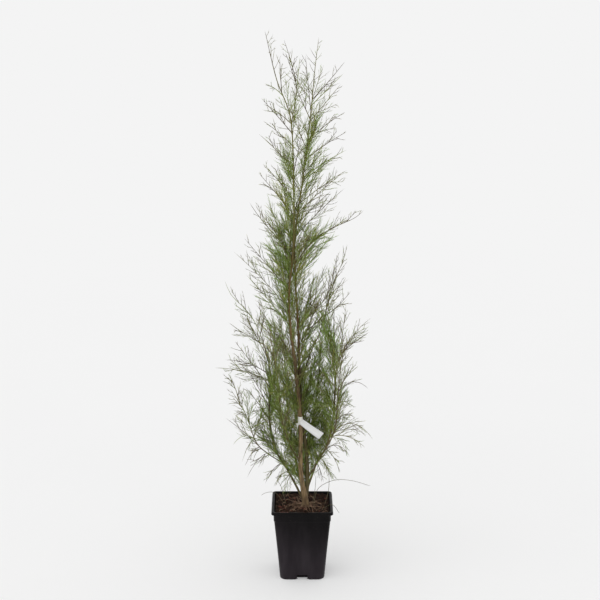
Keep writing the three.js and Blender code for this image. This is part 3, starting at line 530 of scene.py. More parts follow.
def moulded_polypropylene():
    """Recycled black polypropylene, injection moulded. It is satin rather than glossy, and dust dulls it
    in soft upright streaks and specks. Its colour is darkest at the top, a painted shade under the rim,
    and lighter towards the foot and the left, a painted reflection of the bright floor."""
    made, tree, shader = new_material("moulded_polypropylene", {"IOR": 1.49, "Specular IOR Level": 0.1})
    place = add_node(tree, "TexCoord", out="Object")
    height = add_node(tree, "VectorMath", {0: place, 1: (0.25, 0, 1)}, "Value", operation="DOT_PRODUCT")
    # Painted light: the share of the lighter foot tone, a painted reflection of the bright floor, rises
    # towards the foot and the left; the top keeps the darkest tone as painted shade under the rim.
    floor_light_share = add_node(
        tree, "MapRange", {"Value": height, "From Min": 0.155, "From Max": 0.03},
        interpolation_type="SMOOTHSTEP",
    )
    upright = add_node(tree, "Mapping", {"Vector": place, "Scale": (1, 1, 0.22)})
    streaks = add_node(tree, "TexNoise", {"Vector": upright, "Scale": per_mm(17), "Detail": 5})
    grit = add_node(tree, "TexNoise", {"Vector": place, "Scale": per_mm(2.4), "Detail": 3})
    clean = painted(tree, "#070506", [(streaks, 0.4, 0.72, 1, "#100d0e")])
    floor_lit_foot = painted(tree, "#221d21", [(streaks, 0.4, 0.72, 1, "#2f2a2e")])
    colour = painted(tree, clean, [(floor_light_share, 0, 1, 1, floor_lit_foot), (grit, 0.66, 0.8, 1, "#37332f")])
    satin = {"Value": streaks, "From Min": 0.3, "From Max": 0.7, "To Min": 0.28, "To Max": 0.46}
    rough = add_node(tree, "MapRange", satin)
    grain = add_node(tree, "TexNoise", {"Vector": place, "Scale": per_mm(0.9), "Detail": 2})
    bump = add_node(tree, "Bump", {"Height": grain, "Strength": 0.12, "Distance": 0.2 * MM})
    feed(tree, shader, {"Base Color": colour, "Roughness": rough, "Normal": bump})
    return made


def mottled(name, dark, light, size, relief, rough):
    """A matt natural surface that runs from a dark to a light tone in patches of a size."""
    made, tree, shader = new_material(name, {"Roughness": rough, "Specular IOR Level": 0.25})
    place = add_node(tree, "TexCoord", out="Object")
    patch = add_node(tree, "TexNoise", {"Vector": place, "Scale": per_mm(size), "Detail": 6})
    colour = painted(tree, dark, [(patch, 0.35, 0.65, 1, light)])
    bump = add_node(tree, "Bump", {"Height": patch, "Strength": relief, "Distance": size * 0.3 * MM})
    feed(tree, shader, {"Base Color": colour, "Normal": bump})
    return made


# Tints of bark by height, in metres, as layers: painted shade of the crown from 0.33 m up, warmer and
# lighter above it, partly lifting that painted shade, olive on the youngest wood, and darker towards the
# foot.
BARK_TINTS_AND_SHADE_BY_HEIGHT = [
    (0.33, 0.42, 0.6, "#4a3524"),
    (0.48, 0.6, 0.65, "#86683f"),
    (0.6, 0.78, 0.85, "#6e6e3c"),
    (0.22, 0.15, 0.4, "#33241a"),
]


def tamarisk_bark(name, furrows, ridges, weather):
    """Bark of a young tamarisk: thin, satin and brown, furrowed lengthwise, with weathered patches where
    light reaches it, pale corky specks, and tints that change with height,
    among them painted shade inside the crown."""
    made, tree, shader = new_material(name, {"Roughness": 0.66, "Specular IOR Level": 0.3})
    place = add_node(tree, "TexCoord", out="Object")
    drawn = add_node(tree, "Mapping", {"Vector": place, "Scale": (1, 1, 0.1)})
    furrow = add_node(tree, "TexNoise", {"Vector": drawn, "Scale": per_mm(2.2), "Detail": 5})
    patch = add_node(tree, "TexNoise", {"Vector": place, "Scale": per_mm(24), "Detail": 3})
    height = add_node(tree, "SeparateXYZ", {0: place}, "Z")
    cork = add_node(tree, "TexNoise", {"Vector": place, "Scale": per_mm(1.3), "Detail": 1})
    layers = [(furrow, 0.36, 0.62, 1, ridges), (patch, 0.45, 0.75, 0.55, weather)]
    layers += [(height, *layer) for layer in BARK_TINTS_AND_SHADE_BY_HEIGHT]
    layers.append((cork, 0.68, 0.76, 0.7, "#a5906c"))
    bump = add_node(tree, "Bump", {"Height": furrow, "Strength": 0.5, "Distance": 0.5 * MM})
    feed(tree, shader, {"Base Color": painted(tree, furrows, layers), "Normal": bump})
    return made


def polyethylene_film(name, smudged, clean):
    """White polyethylene label stock: smooth and a little glossy, faintly smudged by handling."""
    made, tree, shader = new_material(name, {"IOR": 1.5, "Specular IOR Level": 0.4})
    place = add_node(tree, "TexCoord", out="Object")
    smudge = add_node(tree, "TexNoise", {"Vector": place, "Scale": per_mm(9), "Detail": 4})
    colour = painted(tree, smudged, [(smudge, 0, 1, 1, clean)])
    rough = add_node(tree, "MapRange", {"Value": smudge, "To Min": 0.35, "To Max": 0.6})
    feed(tree, shader, {"Base Color": colour, "Roughness": rough})
    return made


def living(name, colour):
    """Living shoots and scale leaves: soft, nearly matt, and of one plain colour, because each spray has
    its own."""
    return new_material(name, {"Base Color": colour, "Roughness": 0.55, "Specular IOR Level": 0.12})[0]


pot_plastic = moulded_polypropylene()
# The trunk has the older bark, paler and warmer. That of the boughs is darker, more olive, and the second
# stem takes it too, as painted shade, because it stands behind the trunk.
trunk_bark = tamarisk_bark("tamarisk_stem_bark", "#554330", "#9c835f", "#938458")
bough_and_shaded_stem_bark = tamarisk_bark("tamarisk_bough_and_shaded_stem_bark", "#433a24", "#6b603e", "#6b6842")
# The label's tail is greyer than its band: painted shade, where it hangs tilted away from the light.
band_film = polyethylene_film("band_polyethylene_film", "#f6f5ee", "#fefdf8")
shaded_tail_film = polyethylene_film("shaded_tail_polyethylene_film", "#ececec", "#fafafa")

# Peat, bark chippings and the fibres that lie on them: matt, crumbly, from near black to rust brown.
peat = mottled("milled_peat", "#0c0603", "#3a261b", 4.5, relief=0.9, rough=0.97)
peat_crumb = mottled("peat_crumbs", "#150c07", "#492f22", 2.5, relief=0.8, rough=0.97)
bark_chip = mottled("pine_bark_chips", "#40221a", "#78473a", 3, relief=0.6, rough=0.9)
root_fibre = mottled("dry_root_fibres", "#4d3828", "#b0937a", 14, relief=0.2, rough=0.85)
dry_stalk = mottled("dry_stalks", "#55513c", "#7d7760", 6, relief=0.2, rough=0.8)

# Young shoots, from brown wood to green.
shoot_woods = [
    living("young_brown_shoots", "#5c4f3b"),
    living("olive_shoots", "#7b764c"),
    living("green_shoots", "#879449"),
]

# Sprays of scale leaves: the colour of each kind, and its share at each height.
SPRAY_HEIGHTS = [200, 400, 520, 800, 950, 1161]
SPRAYS = [
    ("deep_green_sprays", "#546526", [0.34, 0.38, 0.2, 0.05, 0.03, 0.02]),
    ("mid_green_sprays", "#879e50", [0.28, 0.28, 0.28, 0.22, 0.18, 0.16]),
    ("fresh_green_sprays", "#a5c36c", [0.1, 0.1, 0.24, 0.36, 0.26, 0.16]),
    ("grey_green_sprays", "#938c6e", [0.14, 0.12, 0.18, 0.22, 0.28, 0.3]),
    # Painted highlight: these pale yellow-green sprays stand for leaves lit through, and grow more common
    # towards the top.
    ("painted_highlight_yellow_green_sprays", "#b9b863", [0.06, 0.07, 0.1, 0.2, 0.24, 0.22]),
    ("olive_brown_sprays", "#7a6d54", [0.08, 0.05, 0.04, 0.06, 0.08, 0.15]),
]
spray_greens = [living(name, colour) for name, colour, _ in SPRAYS]


# Pieces

def add_piece(name, mesh, materials, nodes=()):
    """Puts a finished mesh in the scene, on the part's one body."""
    for material in materials:
        mesh.materials.append(material)
    made = bpy.data.objects.new(name, mesh)
    bpy.context.scene.collection.objects.link(made)
    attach(made, "root")
    if nodes:
        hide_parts(*nodes)


def mesh_of(bm, name):
    """Closes a bmesh drawn in millimetres and gives its mesh in metres."""
    bmesh.ops.recalc_face_normals(bm, faces=bm.faces)
    bmesh.ops.scale(bm, vec=(MM, MM, MM), verts=bm.verts)
    mesh = bpy.data.meshes.new(name)
    bm.to_mesh(mesh)
    bm.free()
    mesh.shade_smooth()
    return mesh


def add_many(name, groups, materials, nodes=(), smooth=True):
    """One piece of many small things, in groups of like shapes: the points of each shape in millimetres,
    the triangles that all share, and which material each shape takes."""
    points, corners, tints, base = [], [], [], 0
    for shapes, triangles, tint in groups:
        count, size, _ = shapes.shape
        first = base + np.arange(count)[:, None, None] * size
        points.append(shapes.reshape(-1, 3))
        corners.append((triangles[None] + first).reshape(-1, 3))
        tints.append(np.repeat(np.broadcast_to(tint, count), len(triangles)))
        base += count * size
    points, corners, tints = (np.concatenate(rows) for rows in (points, corners, tints))
    mesh = bpy.data.meshes.new(name)
    mesh.vertices.add(len(points))
    mesh.vertices.foreach_set("co", (points * MM).astype(np.float32).ravel())
    mesh.loops.add(corners.size)
    mesh.loops.foreach_set("vertex_index", corners.astype(np.int32).ravel())
    mesh.polygons.add(len(corners))
    mesh.polygons.foreach_set("loop_start", np.arange(0, corners.size, 3, dtype=np.int32))
    mesh.polygons.foreach_set("material_index", tints.astype(np.int32))
    mesh.update(calc_edges=True)
    if smooth:
        mesh.shade_smooth()
    add_piece(name, mesh, materials, nodes)


def unit(vectors):
    return vectors / np.maximum(np.linalg.norm(vectors, axis=-1, keepdims=True), 1e-9)


def least_along(headings):
    """For each heading, the axis that it runs along the least."""
    return np.eye(3)[np.abs(headings).argmin(axis=1)][:, None]


def tubes(paths, radii, sides):
    """Round tubes along paths (count, steps, 3), closed at the foot and drawn to a point at the tip.
    Gives their points and triangles, the same number for each."""
    count, steps, _ = paths.shape
    ahead = unit(np.gradient(paths, axis=1))
    side = unit(np.cross(ahead, least_along(unit(paths[:, -1] - paths[:, 0]))))
    other = np.cross(ahead, side)
    turn = np.arange(sides) * FULL_TURN / sides
    rim = side[:, :-1, None] * np.cos(turn)[:, None] + other[:, :-1, None] * np.sin(turn)[:, None]
    rings = paths[:, :-1, None] + rim * radii[:, :-1, None, None]
    points = np.concatenate([rings.reshape(count, (steps - 1) * sides, 3), paths[:, -1:]], axis=1)
    triangles = [[0, k + 1, k] for k in range(1, sides - 1)]
    for ring in range(steps - 2):
        low, high = ring * sides, (ring + 1) * sides
        for k in range(sides):
            n = (k + 1) % sides
            triangles += [[low + k, low + n, high + n], [low + k, high + n, high + k]]
    last, tip = (steps - 2) * sides, (steps - 1) * sides
    triangles += [[last + k, last + (k + 1) % sides, tip] for k in range(sides)]
    return points, np.array(triangles)


def extruded(bm, edges):
    """Extrudes a ring of edges, and gives the points and edges of the new ring."""
    drawn = bmesh.ops.extrude_edge_only(bm, edges=edges)["geom"]
    ring = [g for g in drawn if isinstance(g, bmesh.types.BMVert)]
    edges = [g for g in drawn if isinstance(g, bmesh.types.BMEdge)]
    return ring, [e for e in edges if all(v in ring for v in e.verts)]


# Pot

def square_point(k, half, corner):
    """The k-th point round a square with rounded corners: first a corner, then the side after it."""
    quarter, step = divmod(k, RING_POINTS // 4)
    inner = half - corner
    if step <= ARC_STEPS:
        turn = step / ARC_STEPS * math.pi / 2
        x, y = inner + corner * math.cos(turn), inner + corner * math.sin(turn)
    else:
        share = (step - ARC_STEPS) / (RING_POINTS // 4 - ARC_STEPS)
        x, y = inner * (1 - 2 * share), half
    for _ in range(quarter):
        x, y = -y, x
    return x, y


def loft(levels, shape):
    """A closed shell through level rings of a rounded square. shape may move each point."""
    bm = bmesh.new()
    order = bm.verts.layers.int.new("order")
    ring = bmesh.ops.create_circle(bm, segments=RING_POINTS, radius=1)["verts"]
    for k, vert in enumerate(ring):
        vert[order] = k
    first = edges = list(bm.edges)
    for number, (half, corner, height) in enumerate(levels):
        if number:
            ring, edges = extruded(bm, edges)
        for vert in ring:
            vert.co = shape(*square_point(vert[order], half, corner), height)
    bmesh.ops.edgeloop_fill(bm, edges=first)
    bmesh.ops.edgeloop_fill(bm, edges=edges)
    return bm


def wall_level(height, inset=0.0):
    """A ring of the tapered wall at a height, set in from its outside."""
    share = height / WALL_HEAD["height"]
    half = WALL_FOOT["half"] + (WALL_HEAD["half"] - WALL_FOOT["half"]) * share
    corner = WALL_FOOT["corner"] + (WALL_HEAD["corner"] - WALL_FOOT["corner"]) * share
    return half - inset, corner - inset, height


def bowed(x, y, z):
    """The long flat walls lean in a little between their corners."""
    share = math.sin(math.pi * min(z / WALL_HEAD["height"], 1))
    reach = max(abs(x), abs(y))
    flat = 1 - (min(abs(x), abs(y)) / max(reach, 1)) ** 2
    pull = 1 - WALL_BOW * share * flat / WALL_HEAD["half"]
    return x * pull, y * pull, z


def drain_cutters():
    """A slot and an arch on each side of the pot's foot."""
    cutters = bmesh.new()
    foot, through = -WALL_FOOT["half"], 2 * SLOT["depth"]
    for side in range(4):
        slot = bmesh.ops.create_cube(cutters, size=1)["verts"]
        bmesh.ops.scale(cutters, vec=(SLOT["width"], through, SLOT["high"] - SLOT["low"]), verts=slot)
        bmesh.ops.translate(cutters, vec=(0, foot, (SLOT["low"] + SLOT["high"]) / 2), verts=slot)
        arch = bmesh.ops.create_cone(
            cutters, cap_ends=True, segments=ARCH["sides"], radius1=0.5, radius2=0.5, depth=through
        )["verts"]
        level = Matrix.Rotation(math.pi / 2, 3, "X")
        bmesh.ops.rotate(cutters, cent=(0, 0, 0), matrix=level, verts=arch)
        bmesh.ops.scale(cutters, vec=(ARCH["width"], 1, 2 * ARCH["height"]), verts=arch)
        bmesh.ops.translate(cutters, vec=(0, foot, 0), verts=arch)
        turn = Matrix.Rotation(side * math.pi / 2, 3, "Z")
        bmesh.ops.rotate(cutters, cent=(0, 0, 0), matrix=turn, verts=slot + arch)
    return cutters


def stepped(stretches):
    """Rings of the shell from their steps."""
    levels = []
    for half, height, rings in stretches:
        levels += [(half + out, corner, height + up) for out, corner, up in rings]
    return levels


def build_pot():
    """The pot's shell, with its drains cut out."""
    levels = stepped(FOOT_RINGS) + [wall_level(height) for height in WALL_HEIGHTS]
    levels += stepped(RIM_RINGS) + [wall_level(height, POT_WALL) for height in INSIDE_HEIGHTS]
    whole = bpy.data.objects.new("pot_whole", mesh_of(loft(levels, bowed), "pot_whole"))
    drains = bpy.data.objects.new("pot_drains", mesh_of(drain_cutters(), "pot_drains"))
    for item in (whole, drains):
        bpy.context.scene.collection.objects.link(item)
    cut = whole.modifiers.new("drains", "BOOLEAN")
    cut.object, cut.operation, cut.solver, cut.use_self = drains, "DIFFERENCE", "EXACT", True
    settled = whole.evaluated_get(bpy.context.evaluated_depsgraph_get())
    mesh = bpy.data.meshes.new_from_object(settled)
    for item in (whole, drains):
        bpy.data.objects.remove(item)
    mesh.name = "pot"
    mesh.shade_smooth()
    mesh.set_sharp_from_angle(angle=SHARP_EDGE)
    mesh.materials.clear()
    add_piece("nursery_pot", mesh, [pot_plastic], ["pot"])


# Potting mix

def soil_height(x, y):
    """Lumpy top of the mix: highest at the stem and the back wall, lower towards the other walls."""
    edge = max(abs(x), abs(y)) / SOIL_HALF
    lumps = sum(height * noise.noise((x / size, y / size, layer)) for height, size, layer in SOIL_LUMPS)
    near = min(1, math.hypot(x - TRUNK_FOOT[0], y - TRUNK_FOOT[1]) / SMOOTH_ROUND_STEM)
    banked = SOIL_BANK * max(0, y / SOIL_HALF) ** 2
    return SOIL_CREST + banked - SOIL_EDGE_DROP * edge ** 2 + lumps * near


def build_soil():
    levels = [wall_level(height, POT_WALL + SOIL_GAP) for height in SOIL_HEIGHTS]
    shares = [1 - k / SOIL_RINGS for k in range(SOIL_RINGS)]
    levels += [(SOIL_HALF * share, SOIL_CORNER * share, SOIL_TOP) for share in shares]
    bm = loft(levels, lambda x, y, z: (x, y, soil_height(x, y) if z == SOIL_TOP else z))
    add_piece("potting_mix", mesh_of(bm, "potting_mix"), [peat], ["soil"])


def on_soil(luck, count):
    """Random places on the mix, clear of the stem."""
    places = luck.uniform(-LITTER["reach"], LITTER["reach"], (count, 2))
    far = np.hypot(places[:, 0] - TRUNK_FOOT[0], places[:, 1] - TRUNK_FOOT[1]) > LITTER["off stem"]
    return places[far]


def scattered(shape, places, sizes, luck, lift):
    """Copies of a small shape, turned and sized at random, lying on the mix."""
    shape.verts.index_update()
    points = np.array([v.co for v in shape.verts])
    triangles = np.array([[v.index for v in f.verts] for f in shape.faces])
    shape.free()
    count = len(places)
    rough = points[None] * luck.uniform(*LITTER["uneven"], (count, len(points), 1))
    turns = np.array([Matrix.Rotation(a, 3, "Z") for a in luck.uniform(0, FULL_TURN, count)])
    tilts = np.array([Matrix.Rotation(a, 3, "X") for a in luck.normal(0, LITTER["tilt"], count)])
    turned = np.einsum("nij,njk,nvk->nvi", turns, tilts, rough * sizes[:, None, :])
    heights = np.array([soil_height(x, y) for x, y in places])
    ground = np.column_stack([places, heights + lift * sizes[:, 2]])
    return turned + ground[:, None, :], triangles, 0


def build_litter():
    luck = np.random.default_rng(LITTER["seed"])
    lump = bmesh.new()
    bmesh.ops.create_icosphere(lump, subdivisions=1, radius=0.5)
    places = on_soil(luck, CRUMBS["count"])
    sizes = luck.uniform(*CRUMBS["size"], (len(places), 1))
    sizes = sizes * luck.uniform(*CRUMBS["shape"], (len(places), 3))
    crumbs = scattered(lump, places, sizes, luck, CRUMBS["lift"])
    add_many("peat_crumbs", [crumbs], [peat_crumb], smooth=False)

    chip = bmesh.new()
    bmesh.ops.create_cube(chip, size=1)
    bmesh.ops.triangulate(chip, faces=chip.faces)
    heaps = [luck.normal(middle, spread, (count, 2)) for middle, spread, count in CHIP_HEAPS]
    places = np.concatenate([on_soil(luck, CHIPS["count"]), *heaps])
    places = np.clip(places, -CHIPS["reach"], CHIPS["reach"])
    sizes = luck.uniform(CHIPS["least"], CHIPS["most"], (len(places), 3))
    chips = scattered(chip, places, sizes, luck, CHIPS["lift"])
    add_many("bark_chips", [chips], [bark_chip], smooth=False)


def build_fibres():
    """Fine dry roots that spread over the mix from the stem, and loose bits of them."""
    luck = np.random.default_rng(FIBRES["seed"])
    steps = np.linspace(0, 1, FIBRES["steps"])
    paths = []
    for number in range(FIBRES["count"]):
        kind = ROOTED if number < ROOTED["count"] else LOOSE
        turn = luck.uniform(0, FULL_TURN)
        start = np.array(TRUNK_FOOT) + ROOTED["off stem"] * np.array([math.cos(turn), math.sin(turn)])
        length = luck.uniform(*ROOTED["length"])
        if kind is LOOSE:
            start = luck.uniform(-LOOSE["reach"], LOOSE["reach"], 2)
            turn = luck.uniform(0, FULL_TURN)
            length = luck.uniform(*LOOSE["length"])
        headings = turn + luck.normal(0, FIBRES["bend"]) * steps
        stride = np.column_stack([np.cos(headings), np.sin(headings)]) * length / len(steps)
        line = np.clip(start + np.cumsum(stride, axis=0) - stride[0], -FIBRES["reach"], FIBRES["reach"])
        lift = luck.uniform(*kind["lift"])
        arch = np.sin(np.pi * np.clip(steps * luck.uniform(*FIBRE_ARCH), 0, 1))
        heights = np.array([soil_height(x, y) for x, y in line]) + lift * arch + FIBRES["rest"]
        if kind is ROOTED:
            heights[:2] += ROOTED["climb"]
        paths.append(np.column_stack([line, heights]))
    girth = luck.uniform(*FIBRE_GIRTH["radius"], (len(paths), 1))
    thick = girth * np.linspace(1, FIBRE_GIRTH["taper"], len(steps))
    fibres = tubes(np.array(paths), thick, FIBRE_GIRTH["sides"])
    add_many("root_fibres", [(*fibres, 0)], [root_fibre])


def build_stalks():
    steps = np.linspace(0, 1, STALK["steps"])
    paths = np.array([smooth_line(points)[0](steps) for points in DRY_STALKS])
    thick = STALK["radius"] * np.linspace(1, STALK["taper"], STALK["steps"])[None]
    add_many("dry_stalks", [(*tubes(paths, thick, STALK["sides"]), 0)], [dry_stalk])


# Limbs

def smooth_line(points):
    """A smooth line through points: its place at shares of its length, and that length."""
    points = np.array(points, float)
    padded = np.vstack([2 * points[0] - points[1], points, 2 * points[-1] - points[-2]])

    def at_step(step):
        place = np.clip(step, 0, 1) * (len(points) - 1)
        first = np.minimum(place.astype(int), len(points) - 2)
        w = (place - first)[:, None]
        a, b, c, d = (padded[first + k] for k in range(4))
        square, cube = 2 * a - 5 * b + 4 * c - d, 3 * b - a - 3 * c + d
        return 0.5 * (2 * b + (c - a) * w + square * w ** 2 + cube * w ** 3)

    steps = np.linspace(0, 1, ARC_SAMPLES)
    strides = np.linalg.norm(np.diff(at_step(steps), axis=0), axis=1)
    run = np.concatenate([[0], np.cumsum(strides)])
    return lambda shares: at_step(np.interp(np.atleast_1d(shares) * run[-1], run, steps)), run[-1]


grown = {}
for limb in LIMBS:
    path = list(limb["path"])
    if "from" in limb:
        path.insert(0, list(grown[limb["from"]]["line"](limb["at"])[0]))
    limb["line"], limb["length"] = smooth_line(path)
    grown[limb["name"]] = limb


def share_at(limb, height, samples):
    """How far along a limb it reaches a height."""
    shares = np.linspace(0, 1, samples)
    return np.interp(height, limb["line"](shares)[:, 2], shares)


def spaced(span, number, count):
    """Shares of a span, each in the middle of its own part."""
    return span[0] + (span[1] - span[0]) * (number + 0.5) / count


def shoot_count(limb):
    return max(limb["masses"], 1) * SHOOTS_PER_MASS


def shoot_share(limb, index):
    """Where a shoot stands on its limb."""
    return spaced((limb["bare"], limb["wood_end"]), index, shoot_count(limb))


def wood_radii(limb, shares, heights):
    """Radii of a limb's wood, with a swelling under each shoot and at the foot of a bough."""
    radii = np.interp(shares, *np.array(limb["radii"]).T)
    run = shares * limb["length"]
    feet = shoot_share(limb, np.arange(shoot_count(limb))) * limb["length"]
    nearest = np.abs(run[:, None] - feet[None]).min(axis=1)
    radii *= 1 + SHOOT_COLLAR["swell"] * np.exp(-((nearest / SHOOT_COLLAR["length"]) ** 2))
    if limb["name"] in STEMS:
        return radii * np.interp(heights, *STEM_SLIMNESS)
    radii *= limb.get("slim", BOUGH_SLIMNESS)
    return radii * (1 + BOUGH_COLLAR["swell"] * np.exp(-run / BOUGH_COLLAR["length"]))


def bark_relief(seed, cos, sin, run):
    """Furrows and small knobs of bark, as a share of the radius."""
    relief = 0
    for depth, number, length, side in FURROWS:
        relief += depth * noise.noise((number * cos, number * sin, run / length + side * seed))
    knob = noise.noise((KNOBS["round"] * cos, KNOBS["round"] * sin, run / KNOBS["length"] + KNOBS["layer"]))
    return relief + KNOBS["height"] * max(0, knob - KNOBS["least"])


def build_wood(limb):
    """The wood of a limb, with its bark in relief. The trunk flares in lobes where it enters the mix."""
    is_trunk = limb["name"] == "trunk"
    fineness = STEM_MESH if limb["name"] in STEMS else BOUGH_MESH
    sides = fineness["sides"]
    end = limb["wood_end"] + WOOD_INTO_TIP
    rings = int(end * limb["length"] / fineness["spacing"])
    shares = np.linspace(0, end, rings + 1)
    centres = limb["line"](shares)
    if is_trunk:
        centres[0, 2] -= TRUNK_SUNK
    radii = wood_radii(limb, shares, centres[:, 2])
    ahead = unit(np.gradient(centres, axis=0))
    side = np.zeros_like(ahead)
    last = np.array([1.0, 0.0, 0.0])
    for k, direction in enumerate(ahead):
        last = last - direction * last.dot(direction)
        last /= np.linalg.norm(last)
        side[k] = last
    other = np.cross(ahead, side)
    bm = bmesh.new()
    bmesh.ops.create_grid(bm, x_segments=sides, y_segments=rings, size=0.5)
    for vert in bm.verts:
        row = round((vert.co.y + 0.5) * rings)
        turn = FULL_TURN * (round((vert.co.x + 0.5) * sides) % sides) / sides
        cos, sin = math.cos(turn), math.sin(turn)
        radius = radii[row] * (1 + bark_relief(limb["seed"], cos, sin, shares[row] * limb["length"]))
        if is_trunk:
            lobe = 1 + FLARE["lobe"] * math.cos(FLARE["lobes"] * turn)
            low = math.exp(min(0, (SOIL_TOP - centres[row, 2]) / FLARE["height"]))
            radius *= 1 + FLARE["swell"] * lobe * low
        vert.co = centres[row] + radius * (cos * side[row] + sin * other[row])
    bmesh.ops.remove_doubles(bm, verts=bm.verts, dist=WELD)
    bmesh.ops.holes_fill(bm, edges=[e for e in bm.edges if e.is_boundary], sides=0)
    name = limb["name"] + "_wood"
    # The second stem takes the darker bough bark as painted shade, since it stands behind the trunk.
    add_piece(name, mesh_of(bm, name), [trunk_bark if is_trunk else bough_and_shaded_stem_bark], [limb["name"]])


# Foliage

def seeded(seed):
    """The run of chances that the solids grow by, each from 0 to 1."""
    whole = 0xFFFFFFFF
    state = seed & whole

    def chance():
        nonlocal state
        state = (state + 0x6D2B79F5) & whole
        mixed = ((state ^ (state >> 15)) * (state | 1)) & whole
        mixed ^= (mixed + (((mixed ^ (mixed >> 7)) * (mixed | 61)) & whole)) & whole
        return ((mixed ^ (mixed >> 14)) & whole) / (whole + 1)

    return chance


def habit(table, name, height):
    """What a table says of growth at a height."""
    return np.interp(height, table["height"], table[name])


def crown_reach(height, out):
    """How far the crown reaches at a height, towards a level heading."""
    side = habit(CROWN_REACH, "left" if out[0] < 0 else "right", height)
    depth = habit(CROWN_REACH, "depth", height)
    return depth + (side - depth) * abs(out[0])


def bent_line(foot, knee, tip):
    """A line from foot to tip that bends towards knee, by the share of the way."""
    def line(shares):
        w = np.atleast_1d(shares)[:, None]
        return foot * (1 - w) ** 2 + knee * 2 * w * (1 - w) + tip * w ** 2

    return line


def curved(foot, course, bend, size, steps):
    """Points at steps along many bent twigs, each with its own foot, course, bend and size."""
    return foot[:, None] + (course[:, None] * steps + bend[:, None] * steps ** 2) * size[:, None, None]


def is_solid(limb, index):
    """True for the shoots that carry a mass in the solids."""
    return limb["masses"] > 0 and index >= 0 and index % SHOOTS_PER_MASS == MASS_OFFSET


def side_shoot(limb, index, luck):
    """A shoot on a limb, out to the crown's edge. Those between the solid ones are shorter and steeper."""
    solid = is_solid(limb, index)
    chance = seeded(SEED_STEP * limb["seed"] + index) if solid else luck.uniform
    foot = limb["line"](shoot_share(limb, index))[0]
    turn = math.radians(limb["turn"]) + index * GOLDEN_ANGLE + (chance() - 0.5) * TURN_SPREAD
    out = np.array([math.cos(turn), math.sin(turn), 0])
    climb = habit(SHOOT_HABIT, "climb", foot[2]) + (chance() - 0.5) * CLIMB_SPREAD
    arch = habit(SHOOT_HABIT, "arch", foot[2])
    offset = foot.dot(out)
    level = crown_reach(foot[2], out) - offset
    wanted = crown_reach(foot[2] + REACH_AHEAD * climb * level, out) - offset
    longest = min(limb["longest"], habit(SHOOT_HABIT, "longest", foot[2]))
    run = min(max(wanted, SHORTEST_RUN), longest)
    deep = abs(out[1]) > DEEP_HEADING and (out[1] > 0 or abs(out[0]) > CLEAR_HEADING)
    if not solid and not (deep and luck.uniform() < DEEP_SHARE):
        climb = habit(FULLNESS, "climb", foot[2]) * luck.uniform(*CLIMB_RANGE)
        arch *= BRUSH_ARCH
        longest = habit(FULLNESS, "longest", foot[2]) / math.hypot(1, climb)
        run = min(run * luck.uniform(*INFILL_REACH), longest * luck.uniform(*BRUSH_LENGTHS))
    knee = foot + out * KNEE_SHARE * run + UP * (climb / 2 + arch) * run
    return bent_line(foot, knee, foot + out * run + UP * climb * run)


def leading_shoot(limb, height, tip, arch):
    """A shoot from a height on a limb to its own tip, arched up in between."""
    foot = limb["line"](share_at(limb, height, FOOT_SAMPLES))[0]
    return bent_line(foot, (foot + tip) / 2 + UP * arch, np.array(tip, float))


def tip_shoot(limb):
    """The shoot that ends a limb, from where its wood ends to its tip."""
    start, end = limb["wood_end"], limb.get("tip_end", 1)
    return lambda shares: limb["line"](start + (end - start) * np.atleast_1d(shares))


def before_label(points):
    """True for points that would hang in front of the label."""
    beside = points[:, 0] - LABEL_MIDDLE[0]
    middle = LABEL["height"] + np.clip(beside, 0, None) * math.tan(LABEL["tilt"])
    across = (beside > LABEL_SIGHT["left"]) & (beside < LABEL_SIGHT["right"])
    upright = np.abs(points[:, 2] - middle) < LABEL_SIGHT["half"]
    return across & upright & (points[:, 1] < LABEL_MIDDLE[1])


def in_view(points, luck):
    """False for most growth that would hang in front of the two bare stems, and all before the label."""
    kept = np.ones(len(points), bool)
    shares = np.linspace(0, 1, SIGHT_SAMPLES)
    for name in STEMS:
        line = grown[name]["line"](shares)
        x = np.interp(points[:, 2], line[:, 2], line[:, 0])
        y = np.interp(points[:, 2], line[:, 2], line[:, 1])
        hides = (np.abs(points[:, 0] - x) < CLEAR_OF_STEM) & (points[:, 1] < y)
        kept &= ~(hides & (points[:, 2] < STEMS_SHOW_TO))
    return (kept | (luck.uniform(size=len(points)) < STEM_VEIL)) & ~before_label(points)


def in_crown(points, kind):
    """True for points within the crown's reach, and above the pot."""
    x, y, z = points.T
    far = np.hypot(x, y)
    level = np.abs(x) / np.maximum(far, 1)
    side = np.where(x < 0, habit(CROWN_REACH, "left", z), habit(CROWN_REACH, "right", z))
    depth = habit(CROWN_REACH, "depth", z)
    reach = depth + (side - depth) * level + CROWN_MARGIN[kind]
    return (far < reach) & (z > LOWEST_GROWTH) & (z < cad_box[1].z / MM)


def in_gap(points):
    """True for points in a gap of the crown."""
    inside = np.zeros(len(points), bool)
    for (x, z), (wide, tall) in CROWN_GAPS:
        inside |= ((points[:, 0] - x) / wide) ** 2 + ((points[:, 2] - z) / tall) ** 2 < 1
    return inside


